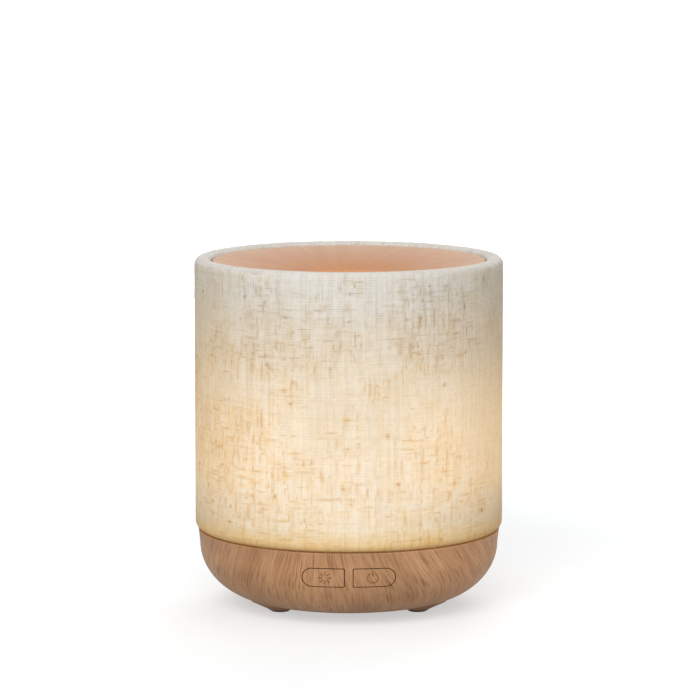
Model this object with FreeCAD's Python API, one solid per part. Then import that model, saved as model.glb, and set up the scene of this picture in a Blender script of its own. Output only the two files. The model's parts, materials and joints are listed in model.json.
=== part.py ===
"""Ultrasonic essential oil diffuser: a linen-covered shade that lifts off a water tank, on a wood-finish bowl.

Millimetres. +Z is up and the origin is on the table, on the object's axis. The buttons face -Y and the power
inlet faces +Y. Each function below makes one sub-part, and NODES at the end names them.
"""

import FreeCAD, Part

import math
import os

V = FreeCAD.Vector
ORIGIN = V(0, 0, 0)
X_AXIS = V(1, 0, 0)
Y_AXIS = V(0, 1, 0)
Z_AXIS = V(0, 0, 1)

# ---- driving dimensions ----
SHADE_R = 52.5
TOTAL_H = 120.0
SEAM_Z = 27.0
FOOT_H = 2.6

# linen shade
FABRIC_T = 0.6
SHADE_BOTTOM_ROUND = 2.6
RIM_OUTER_ROUND = 2.4
RIM_INNER_WIDTH = 3.2
RIM_INNER_DROP = 2.0
SHELL_INNER_R = 49.2
SHELL_SOCKET_R = 49.8
SHELL_LEDGE_R = 43.5
SHELL_LEDGE_T = 2.2
SHELL_GUSSET = 3.9
SPIGOT_TOP_Z = 31.0

# top dish
DISH_R = 46.5
DISH_EDGE_Z = 118.85
DISH_SEAT_Z = 116.6
DISH_SLOPE = 0.155
DISH_UNDER_SLOPE = 0.152
SPOUT_R = 7.0
SPOUT_OUTER_R = 8.4
SPOUT_BOTTOM_Z = 104.5
SPOUT_LIP = 2.5
SPOUT_HEAD_R = 9.8
SPOUT_FLANGE_R = 12.4
SPOUT_FLANGE_T = 1.2
SPOUT_GAP = 0.04
DISH_SEAT_R = 43.2
DISH_SCREW_R = 1.1
LUG_PLACE_R = 41.0
LUG_ANGLES = (30, 150, 270)
LUG_R = 3.2
LUG_LOW_Z = 113.4
LUG_HIGH_Z = 115.4
DISH_BOSS_R = 2.4
DISH_BOSS_TOP_Z = 117.2

# inner lid
LID_SKIRT_R = 40.4
LID_SKIRT_INNER_R = 38.4
LID_BOTTOM_Z = 57.0
LID_SHOULDER_Z = 66.0
LID_DOME_TOP_Z = 86.0
LID_SHOULDER_INNER_R = 35.6
LID_WALL = 2.0
LID_BORE_R = 8.45
LID_PIPE_R = 9.0
LID_CUP_R = 10.8
LID_CUP_INNER_R = 9.0
LID_CUP_Z = 104.0
LID_TOP_Z = 108.5
PIPE_FLANGE_R = 11.5
PIPE_FLANGE_T = 1.2
PIPE_PLUG = 3.0
PIPE_PLUG_GAP = 0.05
BAFFLE_Z = 77.0
BAFFLE_R = 12.5
BAFFLE_T = 1.2
BAFFLE_FALL = 1.9
BAFFLE_LEG_PLACE_R = 11.2

# water tank and deck
TANK_R = 38.0
TANK_INNER_R = 36.0
TANK_TOP_Z = 64.0
DECK_R = 49.5
DECK_Z = 24.5
DECK_T = 2.0
TANK_FLOOR_EDGE_Z = 29.0
TANK_WELL_R = 11.0
FILL_LINE_Z = 56.0
FILL_LINE_GROOVE = 0.4
SPIGOT_T = 1.9
MIST_HOLE_R = 8.0
CHIMNEY_OUTER_R = 6.5
CHIMNEY_INNER_R = 5.0
CHIMNEY_TOP_Z = 61.0
CHIMNEY_BOTTOM_Z = 18.2
CHIMNEY_PLACE_R = 24.0

# mist disc with its seal and clamp, under the deck; one screw at each foot's angle
MIST_DISC_R = 10.0
MIST_DISC_Z = 22.4
MIST_DISC_T = 1.0
SEAL_R = 11.25
SEAL_Z = 21.4
CLAMP_R = 12.9
CLAMP_Z = 20.0
CLAMP_T = 0.9
CLAMP_OPENING_R = 6.5
CLAMP_EAR_R = 3.0
CLAMP_POST_R = 2.6
CLAMP_SCREW_R = 1.0
CLAMP_SCREW_PLACE_R = 16.0
CLAMP_SCREW_TIP_Z = 24.8

# bowl base
BASE_TOP_R = 51.6
BASE_TOP_Z = 26.8
BASE_SIDE_R = 51.05
BASE_CORNER_Z = 22.1
BASE_FLAT_R = 28.4
WALL = 2.4
FLOOR_Z = FOOT_H + WALL
LEDGE_Z = 23.9
LEDGE_R = 46.4
RIM_EDGE_ROUND = 0.25
LABEL_RECESS = 0.3

# feet and housing screws, one of each at these angles
FOOT_PLACE_R = 27.0
FOOT_ANGLES = (90, 210, 330)
FOOT_R = 4.1
FOOT_BOTTOM_Z = 0.5
FOOT_SLOPE = 0.48
FOOT_FLARE_R = 9.8
FOOT_BLEND_SLOPE = 0.8
PAD_R = 3.3
PAD_T = 1.2
SCREW_R = 1.3
THREAD_GAP = 0.02
HOUSING_BOSS_R = 3.4
HOUSING_BOSS_Z = 6.6
HEAD_SEAT_Z = 4.2
HOUSING_SCREW_TIP_Z = 15.0

# two buttons, one each side of the front centre line
BUTTON_LOW_Z = 15.05
BUTTON_HIGH_Z = 21.75
BUTTON_NEAR_X = 1.3
BUTTON_FAR_X = 15.65
BUTTON_GAP = 0.28
FRONT_Y = -54.0
BUTTON_WELL_Y = -40.0
BUTTON_FLANGE_Y = -42.9
BUTTON_FLANGE_T = 1.0
BUTTON_LIP = 0.9
SWITCH_FACE_Y = -41.4
SWITCH_BODY_Y = -40.0
BUTTON_BOARD_Y = -36.5
ICON_DEPTH = 0.18
ICON_X = 7.95
ICON_LINE = 0.42

# fan
FAN_ANGLE = 30
FAN_PLACE_R = 15.3
FAN_SIDE = 30.0
FAN_Z = 5.6
FAN_H = 7.0
FAN_PLATE_T = 1.4
FAN_BORE_R = 14.0
FAN_HOLE_OFFSET = 12.0
FAN_SCREW_TIP_Z = 3.4
FAN_SHAFT_R = 1.0
FAN_SLEEVE_R = 2.8
FAN_SLEEVE_TOP = 5.2
FAN_BEARING_R = 2.0
ROTOR_LOW = 1.3
ROTOR_HIGH = 6.4
ROTOR_HUB_R = 7.4
ROTOR_TIP_R = 13.5
MAGNET_R = 6.7
MAGNET_INNER_R = 6.25
RUNNING_GAP = 0.03
BLADES = 7
BLADE_PITCH = 52
DUCT_ROOF_Z = 18.0
DUCT_TOP_Z = 20.0
DUCT_R = 14.2
DUCT_COLLAR_R = 8.3
DUCT_COLLAR_INNER_R = 7.0
DUCT_WALL = 1.2

# boards
BOARD_T = 1.6
BOARD_Z = 9.0
BOARD_R = 38.0
BOARD_EDGE_S = -3.5
BOARD_HOLES = ((-17.0, 0.0), (-8.15, -30.4), (-8.15, 30.4))
BOARD_SCREW_R = 0.9
BOARD_SCREW_TIP_Z = 5.8
CONNECTOR_S = -7.5
CONNECTOR_TS = (-18.0, -7.0, 7.0, 18.0)
WIRE_OFFSETS = (-1.0, 1.0)
LED_BOARD_Z = 21.8
LED_BOARD_T = 1.2
LED_BOARD_INNER_R = 38.6
LED_BOARD_R = 44.8
LED_COUNT = 8
LED_PLACE_R = 41.7
LED_SCREW_ANGLES = (67.5, 157.5, 337.5)
LED_SCREW_TIP_Z = 25.2
LED_WIRE_ANGLE = 300

# power inlet
JACK_Z = 16.0
JACK_FACE_Y = 46.0
JACK_R = 4.0
JACK_FLANGE_R = 5.0
JACK_FLANGE_T = 1.2
JACK_BORE_R = 2.8
JACK_PIN_R = 1.0
JACK_PIN_ROOT_R = 0.8
JACK_BORE_DEPTH = 9.5
JACK_BACK_Y = 34.4
JACK_PAD_Y = 43.6
JACK_TERMINAL_RISE = 1.6
JACK_NUT_CORNER_R = 5.1
JACK_NUT_T = 2.4
WIRE_R = 0.55

CUT_MARGIN = 1.0  # how far a cutting tool runs past the material


# ---- helpers ----
def polar(radius, degrees, z=0.0):
    angle = math.radians(degrees)
    return V(radius * math.cos(angle), radius * math.sin(angle), z)


def on_board(s, t, z=0.0):
    """A point from distances s along the fan's direction and t square to it."""
    angle = math.radians(FAN_ANGLE)
    return V(s * math.cos(angle) - t * math.sin(angle), s * math.sin(angle) + t * math.cos(angle), z)


def line(a, b):
    return Part.makeLine(V(a[0], 0, a[1]), V(b[0], 0, b[1]))


def lines(*points):
    return [line(a, b) for a, b in zip(points, points[1:])]


def quarter(centre, a, b):
    """The quarter of a circle or ellipse about centre from a to b, each level with or plumb with the centre."""
    c, start, end = (V(p[0], 0, p[1]) for p in (centre, a, b))
    first, second = (start - c).Length, (end - c).Length
    if abs(first - second) < 1e-6:
        middle = c + ((start - c) + (end - c)).normalize() * first
        return Part.Arc(start, middle, end).toShape()
    if first < second:
        start, end = end, start
    return Part.ArcOfEllipse(Part.Ellipse(start, end, c), 0, math.pi / 2).toShape()


def revolve(edges):
    """A closed outline of (radius, height) edges, turned round the Z axis."""
    wire = Part.Wire(Part.__sortEdges__(edges))
    return Part.Face(wire).revolve(ORIGIN, Z_AXIS, 360)


def turned(*points):
    """A straight-sided outline turned round the Z axis."""
    return revolve(lines(*points, points[0]))


def cylinder(radius, low, high, centre=ORIGIN):
    return Part.makeCylinder(radius, high - low, V(centre.x, centre.y, low))


def tube(outer, inner, low, high, centre=ORIGIN):
    bore = cylinder(inner, low - CUT_MARGIN, high + CUT_MARGIN, centre)
    return cylinder(outer, low, high, centre).cut(bore)


def along_y(radius, low, high, x, z):
    """A cylinder along +Y from y = low to y = high."""
    return Part.makeCylinder(radius, high - low, V(x, low, z), Y_AXIS)


def block(size_x, size_y, low, high, centre=ORIGIN, degrees=0.0):
    """A box centred on a point in plan, turned about its own centre."""
    box = Part.makeBox(size_x, size_y, high - low, V(-size_x / 2, -size_y / 2, low))
    box.rotate(ORIGIN, Z_AXIS, degrees)
    return box.translate(V(centre.x, centre.y, 0))


def span_box(low, high):
    """A box from its lowest corner to its highest."""
    return Part.makeBox(*(b - a for a, b in zip(low, high)), V(*low))


def fuse(shapes):
    first, rest = shapes[0], shapes[1:]
    return first.fuse(rest).removeSplitter() if rest else first


def cut(shape, tools):
    return shape.cut(tools).removeSplitter()


def group(shapes):
    return Part.makeCompound(shapes)


def screw(radius, seat, tip, place, head_r, head_h, up=True):
    """A pan-head screw on a vertical axis. Its head is below the seat if it points up, and above it if not."""
    if up:
        head = cylinder(head_r, seat - head_h, seat, place)
        slot_low = seat - head_h
        slot_high = slot_low + head_h / 2
        head = head.makeFillet(head_h / 3, [head.Edges[2]])
    else:
        head = cylinder(head_r, seat, seat + head_h, place)
        slot_high = seat + head_h
        slot_low = slot_high - head_h / 2
        head = head.makeFillet(head_h / 3, [head.Edges[0]])
    shaft = cylinder(radius, min(seat, tip), max(seat, tip), place)
    cross = [block(head_r * 1.2, head_r * 0.3, slot_low, slot_high, place, turn) for turn in (0, 90)]
    return cut(fuse([head, shaft]), cross)


def wire_run(points, leave, arrive):
    """An insulated wire through the given points, with the directions in which it leaves and arrives."""
    curve = Part.BSplineCurve()
    curve.interpolate(Points=points, InitialTangent=leave, FinalTangent=arrive)
    path = Part.Wire([curve.toShape()])
    section = Part.Wire([Part.makeCircle(WIRE_R, points[0], leave)])
    return path.makePipeShell([section], True, True)


# ---- shade ----
def shade_side(inset):
    """The shade's outside, from its bottom edge up and over the rim to the dish, moved inwards by inset."""
    low_c = (SHADE_R - SHADE_BOTTOM_ROUND, SEAM_Z + SHADE_BOTTOM_ROUND)
    rim_c = (SHADE_R - RIM_OUTER_ROUND, TOTAL_H - RIM_OUTER_ROUND)
    inner_c = (rim_c[0], TOTAL_H - RIM_INNER_DROP)
    bottom = (low_c[0], SEAM_Z + inset)
    side_low = (SHADE_R - inset, low_c[1])
    side_high = (SHADE_R - inset, rim_c[1])
    crest = (rim_c[0], TOTAL_H - inset)
    inside = (rim_c[0] - RIM_INNER_WIDTH + inset, inner_c[1])
    edges = [
        quarter(low_c, bottom, side_low),
        line(side_low, side_high),
        quarter(rim_c, side_high, crest),
        quarter(inner_c, crest, inside),
    ]
    return bottom, edges, inside


def shade_fabric():
    tuck_z = DISH_SEAT_Z + 0.3
    bottom, outside, lip = shade_side(0)
    inner_bottom, inside, inner_lip = shade_side(FABRIC_T)
    tuck = lines(lip, (lip[0], tuck_z), (inner_lip[0], tuck_z), inner_lip)
    return revolve(outside + tuck + inside + [line(inner_bottom, bottom)])


def shade_shell():
    bottom, outside, lip = shade_side(FABRIC_T)
    ledge_low = DISH_SEAT_Z - SHELL_LEDGE_T
    inner = lines(
        lip,
        (lip[0], DISH_SEAT_Z),
        (SHELL_LEDGE_R, DISH_SEAT_Z),
        (SHELL_LEDGE_R, ledge_low),
        (SHELL_INNER_R, ledge_low - SHELL_GUSSET),
        (SHELL_INNER_R, SPIGOT_TOP_Z),
        (SHELL_SOCKET_R, SPIGOT_TOP_Z),
        (SHELL_SOCKET_R, bottom[1]),
        bottom,
    )
    places = [polar(LUG_PLACE_R, a) for a in LUG_ANGLES]
    lugs = [cylinder(LUG_R, LUG_LOW_Z, LUG_HIGH_Z, p) for p in places]
    holes = [cylinder(DISH_SCREW_R + 0.15, LUG_LOW_Z - CUT_MARGIN, LUG_HIGH_Z + CUT_MARGIN, p) for p in places]
    return cut(fuse([revolve(outside + inner)] + lugs), holes)


def dish_z(radius):
    """The height of the dish's upper face."""
    return DISH_EDGE_Z - DISH_SLOPE * (DISH_R - radius)


def dish_under_z(radius):
    """The height of the dish's underside."""
    return DISH_SEAT_Z - DISH_UNDER_SLOPE * (DISH_SEAT_R - radius)


def top_dish():
    edge_round = 0.3
    hole_r = SPOUT_HEAD_R + SPOUT_GAP
    edge_z = dish_z(DISH_R - edge_round)
    funnel = turned(
        (DISH_R - edge_round, edge_z),
        (hole_r, dish_z(hole_r)),
        (hole_r, dish_under_z(hole_r)),
        (DISH_SEAT_R, DISH_SEAT_Z),
        (DISH_R, DISH_SEAT_Z),
        (DISH_R, edge_z - edge_round),
    )
    places = [polar(LUG_PLACE_R, a) for a in LUG_ANGLES]
    bosses = [cylinder(DISH_BOSS_R, LUG_HIGH_Z, DISH_BOSS_TOP_Z, p) for p in places]
    holes = [cylinder(DISH_SCREW_R + THREAD_GAP, LUG_HIGH_Z - CUT_MARGIN, DISH_BOSS_TOP_Z, p) for p in places]
    return cut(fuse([funnel] + bosses), holes)


def mist_spout():
    """The round-lipped tube in the dish's hole, level with its upper face, with a flange welded under it."""
    lip_r = SPOUT_R + SPOUT_LIP
    lip_z = dish_z(lip_r)
    flange_z = dish_under_z(SPOUT_HEAD_R) - SPOUT_FLANGE_T
    outline = [quarter((lip_r, lip_z - SPOUT_LIP), (lip_r, lip_z), (SPOUT_R, lip_z - SPOUT_LIP))]
    outline += lines(
        (SPOUT_R, lip_z - SPOUT_LIP),
        (SPOUT_R, SPOUT_BOTTOM_Z),
        (SPOUT_OUTER_R, SPOUT_BOTTOM_Z),
        (SPOUT_OUTER_R, flange_z),
        (SPOUT_FLANGE_R, flange_z),
        (SPOUT_FLANGE_R, dish_under_z(SPOUT_FLANGE_R)),
        (SPOUT_HEAD_R, dish_under_z(SPOUT_HEAD_R)),
        (SPOUT_HEAD_R, dish_z(SPOUT_HEAD_R)),
        (lip_r, lip_z),
    )
    return revolve(outline)


def dish_screws():
    tip = DISH_BOSS_TOP_Z - 0.2
    head_r, head_h = 2.1, 1.5
    places = [polar(LUG_PLACE_R, a) for a in LUG_ANGLES]
    return group([screw(DISH_SCREW_R, LUG_LOW_Z, tip, p, head_r, head_h) for p in places])


# ---- inner lid ----
def lid_dome():
    """The space under the lid's dome."""
    inner_top = LID_DOME_TOP_Z - LID_WALL
    edge = (LID_SHOULDER_INNER_R, TANK_TOP_Z)
    curve = quarter((LID_BORE_R, TANK_TOP_Z), edge, (LID_BORE_R, inner_top))
    return [curve] + lines((LID_BORE_R, inner_top), (0, inner_top), (0, TANK_TOP_Z), edge)


def inner_lid():
    dome_edge, dome_top = lid_dome()[0], (LID_PIPE_R, LID_DOME_TOP_Z)
    outline = [quarter((LID_PIPE_R, LID_SHOULDER_Z), (LID_SKIRT_R, LID_SHOULDER_Z), dome_top), dome_edge]
    outline += lines(dome_top, (LID_BORE_R, LID_DOME_TOP_Z), (LID_BORE_R, LID_DOME_TOP_Z - LID_WALL))
    outline += lines(
        (LID_SHOULDER_INNER_R, TANK_TOP_Z),
        (LID_SKIRT_INNER_R, TANK_TOP_Z),
        (LID_SKIRT_INNER_R, LID_BOTTOM_Z),
        (LID_SKIRT_R, LID_BOTTOM_Z),
        (LID_SKIRT_R, LID_SHOULDER_Z),
    )
    return revolve(outline)


def mist_pipe():
    """The pipe pushed into the lid, with a flange on the dome and a cup round the dish's spout."""
    plug_r = LID_BORE_R - PIPE_PLUG_GAP
    return turned(
        (SPOUT_R, LID_DOME_TOP_Z - PIPE_PLUG),
        (SPOUT_R, LID_CUP_Z),
        (LID_CUP_INNER_R, LID_CUP_Z),
        (LID_CUP_INNER_R, LID_TOP_Z),
        (LID_CUP_R, LID_TOP_Z),
        (LID_CUP_R, LID_CUP_Z),
        (LID_PIPE_R, LID_CUP_Z - 2.0),
        (LID_PIPE_R, LID_DOME_TOP_Z + PIPE_FLANGE_T),
        (PIPE_FLANGE_R, LID_DOME_TOP_Z + PIPE_FLANGE_T),
        (PIPE_FLANGE_R, LID_DOME_TOP_Z),
        (plug_r, LID_DOME_TOP_Z),
        (plug_r, LID_DOME_TOP_Z - PIPE_PLUG),
    )


def splash_baffle():
    """A shallow cone on three legs, hung from the dome under the pipe."""
    edge_z = BAFFLE_Z - BAFFLE_FALL
    disc = turned((0, BAFFLE_Z + BAFFLE_T), (0, BAFFLE_Z), (BAFFLE_R, edge_z), (BAFFLE_R, edge_z + BAFFLE_T))
    places = [polar(BAFFLE_LEG_PLACE_R, a) for a in (0, 120, 240)]
    legs = [cylinder(1.0, BAFFLE_Z - 0.9, LID_DOME_TOP_Z, p) for p in places]
    under_dome = revolve(lid_dome())
    return fuse([disc] + [leg.common(under_dome) for leg in legs])


# ---- tank ----
def tank_body():
    """The tank, its sloping floor, the deck and the spigot that the shade sits on, as one turned form."""
    floor_z = DECK_Z + DECK_T
    brim = 0.5
    groove = FILL_LINE_GROOVE
    spigot_r = DECK_R - SPIGOT_T
    return turned(
        (MIST_HOLE_R, DECK_Z),
        (MIST_HOLE_R, floor_z),
        (TANK_WELL_R, floor_z),
        (TANK_INNER_R, TANK_FLOOR_EDGE_Z),
        (TANK_INNER_R, FILL_LINE_Z - groove),
        (TANK_INNER_R - groove, FILL_LINE_Z),
        (TANK_INNER_R, FILL_LINE_Z + groove),
        (TANK_INNER_R, TANK_TOP_Z - brim),
        (TANK_INNER_R + brim, TANK_TOP_Z),
        (TANK_R, TANK_TOP_Z),
        (TANK_R, floor_z),
        (spigot_r, floor_z),
        (spigot_r, SPIGOT_TOP_Z),
        (DECK_R, SPIGOT_TOP_Z),
        (DECK_R, DECK_Z),
        (TANK_R - 2.0, DECK_Z),
        (TANK_R - 4.0, TANK_FLOOR_EDGE_Z - DECK_T - 0.3),
        (TANK_WELL_R + 2.0, DECK_Z),
    )


def tank():
    duct = polar(CHIMNEY_PLACE_R, FAN_ANGLE)
    clamp_top = CLAMP_Z + CLAMP_T
    led_low = LED_BOARD_Z + LED_BOARD_T
    post_top = 26.5
    clamp_places = [polar(CLAMP_SCREW_PLACE_R, a) for a in FOOT_ANGLES]
    foot_places = [polar(FOOT_PLACE_R, a) for a in FOOT_ANGLES]
    led_places = [polar(LED_PLACE_R, a) for a in LED_SCREW_ANGLES]
    adds = [
        tube(CLAMP_R, SEAL_R + 0.05, clamp_top, DECK_Z + 0.2),
        cylinder(CHIMNEY_OUTER_R, CHIMNEY_BOTTOM_Z, CHIMNEY_TOP_Z, duct),
    ]
    adds += [cylinder(CLAMP_POST_R, SEAL_Z, DECK_Z + 1.0, p) for p in clamp_places]
    adds += [cylinder(HOUSING_BOSS_R, HOUSING_BOSS_Z, post_top, p) for p in foot_places]
    adds += [cylinder(1.9, led_low, DECK_Z + 0.5, p) for p in led_places]
    cuts = [cylinder(CHIMNEY_INNER_R, CHIMNEY_BOTTOM_Z - CUT_MARGIN, CHIMNEY_TOP_Z + CUT_MARGIN, duct)]
    cuts += [cylinder(CLAMP_SCREW_R + THREAD_GAP, clamp_top, CLAMP_SCREW_TIP_Z + 0.2, p) for p in clamp_places]
    cuts += [
        cylinder(SCREW_R + THREAD_GAP, HOUSING_BOSS_Z - CUT_MARGIN, HOUSING_SCREW_TIP_Z + 1.0, p)
        for p in foot_places
    ]
    cuts += [
        cylinder(BOARD_SCREW_R + THREAD_GAP, led_low - CUT_MARGIN, LED_SCREW_TIP_Z + 0.4, p)
        for p in led_places
    ]
    return cut(fuse([tank_body()] + adds), cuts)


def mist_disc():
    return cylinder(MIST_DISC_R, MIST_DISC_Z, MIST_DISC_Z + MIST_DISC_T)


def mist_disc_seal():
    return tube(SEAL_R, MIST_HOLE_R, SEAL_Z, DECK_Z).cut(mist_disc())


def mist_disc_clamp():
    """A ring that presses the seal against the deck, with a screw ear at each post."""
    top = CLAMP_Z + CLAMP_T
    places = [polar(CLAMP_SCREW_PLACE_R, a) for a in FOOT_ANGLES]
    plate = cylinder(CLAMP_R, CLAMP_Z, top)
    step = cylinder(SEAL_R, top, SEAL_Z)
    ears = [cylinder(CLAMP_EAR_R, CLAMP_Z, top, p) for p in places]
    posts = [cylinder(CLAMP_POST_R, top, SEAL_Z, p) for p in places]
    webs = [block(6, 5, CLAMP_Z, top, polar(13.5, a), a) for a in FOOT_ANGLES]
    opening = cylinder(CLAMP_OPENING_R, CLAMP_Z - CUT_MARGIN, SEAL_Z + CUT_MARGIN)
    holes = [cylinder(CLAMP_SCREW_R + 0.15, CLAMP_Z - CUT_MARGIN, SEAL_Z + CUT_MARGIN, p) for p in places]
    return cut(fuse([plate, step] + ears + posts + webs), [opening] + holes)


def mist_disc_screws():
    head_r, head_h = 1.9, 1.3
    places = [polar(CLAMP_SCREW_PLACE_R, a) for a in FOOT_ANGLES]
    return group([screw(CLAMP_SCREW_R, CLAMP_Z, CLAMP_SCREW_TIP_Z, p, head_r, head_h) for p in places])


def deck_gasket():
    return tube(48.9, LEDGE_R + 0.5, LEDGE_Z, DECK_Z)


# ---- bowl base ----
def base_solid(inset, top_z):
    """The bowl's outer form moved inwards by inset, as a filled solid up to top_z."""
    side = BASE_SIDE_R - inset
    low = FOOT_H + inset
    corner = quarter((BASE_FLAT_R, BASE_CORNER_Z), (side, BASE_CORNER_Z), (BASE_FLAT_R, low))
    sides = lines((side, BASE_CORNER_Z), (BASE_TOP_R - inset, BASE_TOP_Z))
    if top_z > BASE_TOP_Z:
        sides += lines((BASE_TOP_R - inset, BASE_TOP_Z), (BASE_TOP_R - inset, top_z))
    rest = lines((BASE_TOP_R - inset, top_z), (0, top_z), (0, low), (BASE_FLAT_R, low))
    return revolve([corner] + sides + rest)


def button_prism(side, gap, lip_r, low_y, high_y):
    """A button's D-shaped outline, extruded along Y. Side is -1 for the left button and 1 for the right one."""
    low, high = BUTTON_LOW_Z + gap, BUTTON_HIGH_Z - gap
    near, far = BUTTON_NEAR_X + gap, BUTTON_FAR_X - gap
    radius = (high - low) / 2
    middle = (low + high) / 2
    depth = high_y - low_y
    start, end = sorted((side * near, side * (far - radius)))
    bar = span_box((start, low_y, low), (end, high_y, high))
    tip = along_y(radius, low_y, high_y, side * (far - radius), middle)
    prism = fuse([bar, tip])
    if lip_r:
        along = [e for e in prism.Edges if abs(e.Length - depth) < 1e-3]
        corners = [e for e in along if abs(e.CenterOfMass.x) < near + 0.1]
        prism = prism.makeFillet(lip_r, corners)
    return prism


def foot(degrees):
    """A moulded foot: a wide shallow cone that runs out into the bowl, a little steeper at the last."""
    top_z, edge = 6.0, 0.3
    flare_z = FOOT_BOTTOM_Z + edge + (FOOT_FLARE_R - FOOT_R) * FOOT_SLOPE
    top_r = FOOT_FLARE_R + (top_z - flare_z) / FOOT_BLEND_SLOPE
    corner = (FOOT_R - edge, FOOT_BOTTOM_Z + edge)
    outline = lines(
        (FOOT_R, corner[1]),
        (FOOT_FLARE_R, flare_z),
        (top_r, top_z),
        (0, top_z),
        (0, FOOT_BOTTOM_Z),
        (corner[0], FOOT_BOTTOM_Z),
    )
    outline.append(quarter(corner, (corner[0], FOOT_BOTTOM_Z), (FOOT_R, corner[1])))
    return revolve(outline).translate(polar(FOOT_PLACE_R, degrees)).cut(base_solid(WALL, BASE_TOP_Z))


def grille_slots():
    """Rings of curved slots under the fan, crossed by four ribs."""
    place = polar(FAN_PLACE_R, FAN_ANGLE)
    slot, pitch, first, rib = 1.6, 2.9, 3.5, 1.8
    rings = [
        tube(first + pitch * i + slot / 2, first + pitch * i - slot / 2, FOOT_H - 1, FLOOR_Z + 1, place)
        for i in range(4)
    ]
    ribs = [block(FAN_SIDE, rib, 0, 10, place, FAN_ANGLE + a) for a in (45, 135)]
    return [ring.cut(ribs) for ring in rings]


def ledge():
    """The ring inside the bowl's rim that the gasket and the deck rest on, sloped underneath."""
    outer_r, low_z = 49.9, 20.4
    wall_r = BASE_SIDE_R - WALL + 0.25
    top = [(LEDGE_R, LEDGE_Z - 1.3), (LEDGE_R, LEDGE_Z), (outer_r, LEDGE_Z)]
    return turned(*top, (outer_r, low_z), (wall_r, low_z))


def jack_pad():
    """The flat-faced thickening behind the power inlet, clear of the light ring above it."""
    pad = along_y(JACK_FLANGE_R + 1.6, JACK_PAD_Y, BASE_SIDE_R, 0, JACK_Z).common(base_solid(0.5, BASE_TOP_Z))
    return pad.cut(span_box((-10, JACK_PAD_Y - 3, LED_BOARD_Z - 0.2), (10, BASE_SIDE_R, BASE_TOP_Z)))


def base_shell():
    rebate = cylinder(DECK_R + 0.1, LEDGE_Z, BASE_TOP_Z + CUT_MARGIN)
    bowl = base_solid(0, BASE_TOP_Z)
    level = [e for e in bowl.Edges if abs(e.BoundBox.ZMin - BASE_TOP_Z) < 1e-3]
    bowl = bowl.makeFillet(RIM_EDGE_ROUND, [e for e in level if e.BoundBox.XLength > BASE_TOP_R])
    bowl = bowl.cut([base_solid(WALL, BASE_TOP_Z + CUT_MARGIN), rebate])
    boss_low = FOOT_H + 1.4
    places = [polar(FOOT_PLACE_R, a) for a in FOOT_ANGLES]
    board_places = [on_board(*p) for p in BOARD_HOLES]
    adds = [ledge(), jack_pad()] + [foot(a) for a in FOOT_ANGLES]
    adds += [cylinder(HOUSING_BOSS_R + 1.0, boss_low, HOUSING_BOSS_Z, p) for p in places]
    adds += [cylinder(2.4, boss_low, BOARD_Z, p) for p in board_places]
    cuts = grille_slots()
    cuts += [cylinder(PAD_R + 0.1, -CUT_MARGIN, PAD_T, p) for p in places]
    cuts += [cylinder(2.8, 0, HEAD_SEAT_Z, p) for p in places]
    cuts += [cylinder(SCREW_R + 0.25, 0, HOUSING_BOSS_Z + CUT_MARGIN, p) for p in places]
    board_low, fan_low = BOARD_SCREW_TIP_Z - 0.4, FAN_SCREW_TIP_Z - 0.2
    cuts += [cylinder(BOARD_SCREW_R + THREAD_GAP, board_low, BOARD_Z + CUT_MARGIN, p) for p in board_places]
    cuts += [cylinder(SCREW_R + THREAD_GAP, fan_low, FLOOR_Z + CUT_MARGIN, p) for p in fan_hole_places()]
    cuts += [button_prism(side, 0, 0.5, FRONT_Y, BUTTON_WELL_Y) for side in (-1, 1)]
    cuts += [
        along_y(JACK_R + 0.05, JACK_PAD_Y - CUT_MARGIN, -FRONT_Y, 0, JACK_Z),
        along_y(JACK_FLANGE_R + 0.4, JACK_FACE_Y, -FRONT_Y, 0, JACK_Z),
        label_form(LABEL_RECESS, 0.15),
        block(FAN_SIDE + 0.8, FAN_SIDE + 0.8, FLOOR_Z, FAN_Z + 2, fan_centre(), FAN_ANGLE),
    ]
    return cut(fuse([bowl] + adds), cuts)


def label_form(depth, margin=0.0):
    """The blank rating label's space in the underside."""
    centre = on_board(-11.0, 0)
    width, length = 13 + 2 * margin, 24 + 2 * margin
    plate = block(width, length, FOOT_H - 0.001, FOOT_H + depth, centre, FAN_ANGLE)
    uprights = [e for e in plate.Edges if abs(e.tangentAt(e.FirstParameter).z) > 0.9]
    return plate.makeFillet(1.5, uprights)


def rating_label():
    label = label_form(LABEL_RECESS)
    return label.common(cylinder(BASE_FLAT_R, FOOT_H + 0.1, FOOT_H + LABEL_RECESS))


def foot_pads():
    pads = []
    for angle in FOOT_ANGLES:
        pad = cylinder(PAD_R, 0, PAD_T, polar(FOOT_PLACE_R, angle))
        pads.append(pad.makeChamfer(0.25, [e for e in pad.Edges if e.BoundBox.ZMax < 1e-3]))
    return group(pads)


def housing_screws():
    head_r, head_h = 2.4, 1.9
    places = [polar(FOOT_PLACE_R, a) for a in FOOT_ANGLES]
    return group([screw(SCREW_R, HEAD_SEAT_Z, HOUSING_SCREW_TIP_Z, p, head_r, head_h) for p in places])


# ---- buttons ----
def icon_bar(x, z, length, width, degrees):
    bar = Part.makeBox(length, 20, width, V(-length / 2, -60, -width / 2))
    bar.rotate(ORIGIN, Y_AXIS, -degrees)
    return bar.translate(V(x, 0, z))


def light_icon(x, z):
    """Eight short rays round an open middle."""
    count, reach, length = 8, 1.55, 1.25
    rays = []
    for i in range(count):
        angle = 360 * i / count
        ray_x = x + reach * math.cos(math.radians(angle))
        ray_z = z + reach * math.sin(math.radians(angle))
        rays.append(icon_bar(ray_x, ray_z, length, ICON_LINE, angle))
    return rays


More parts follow.
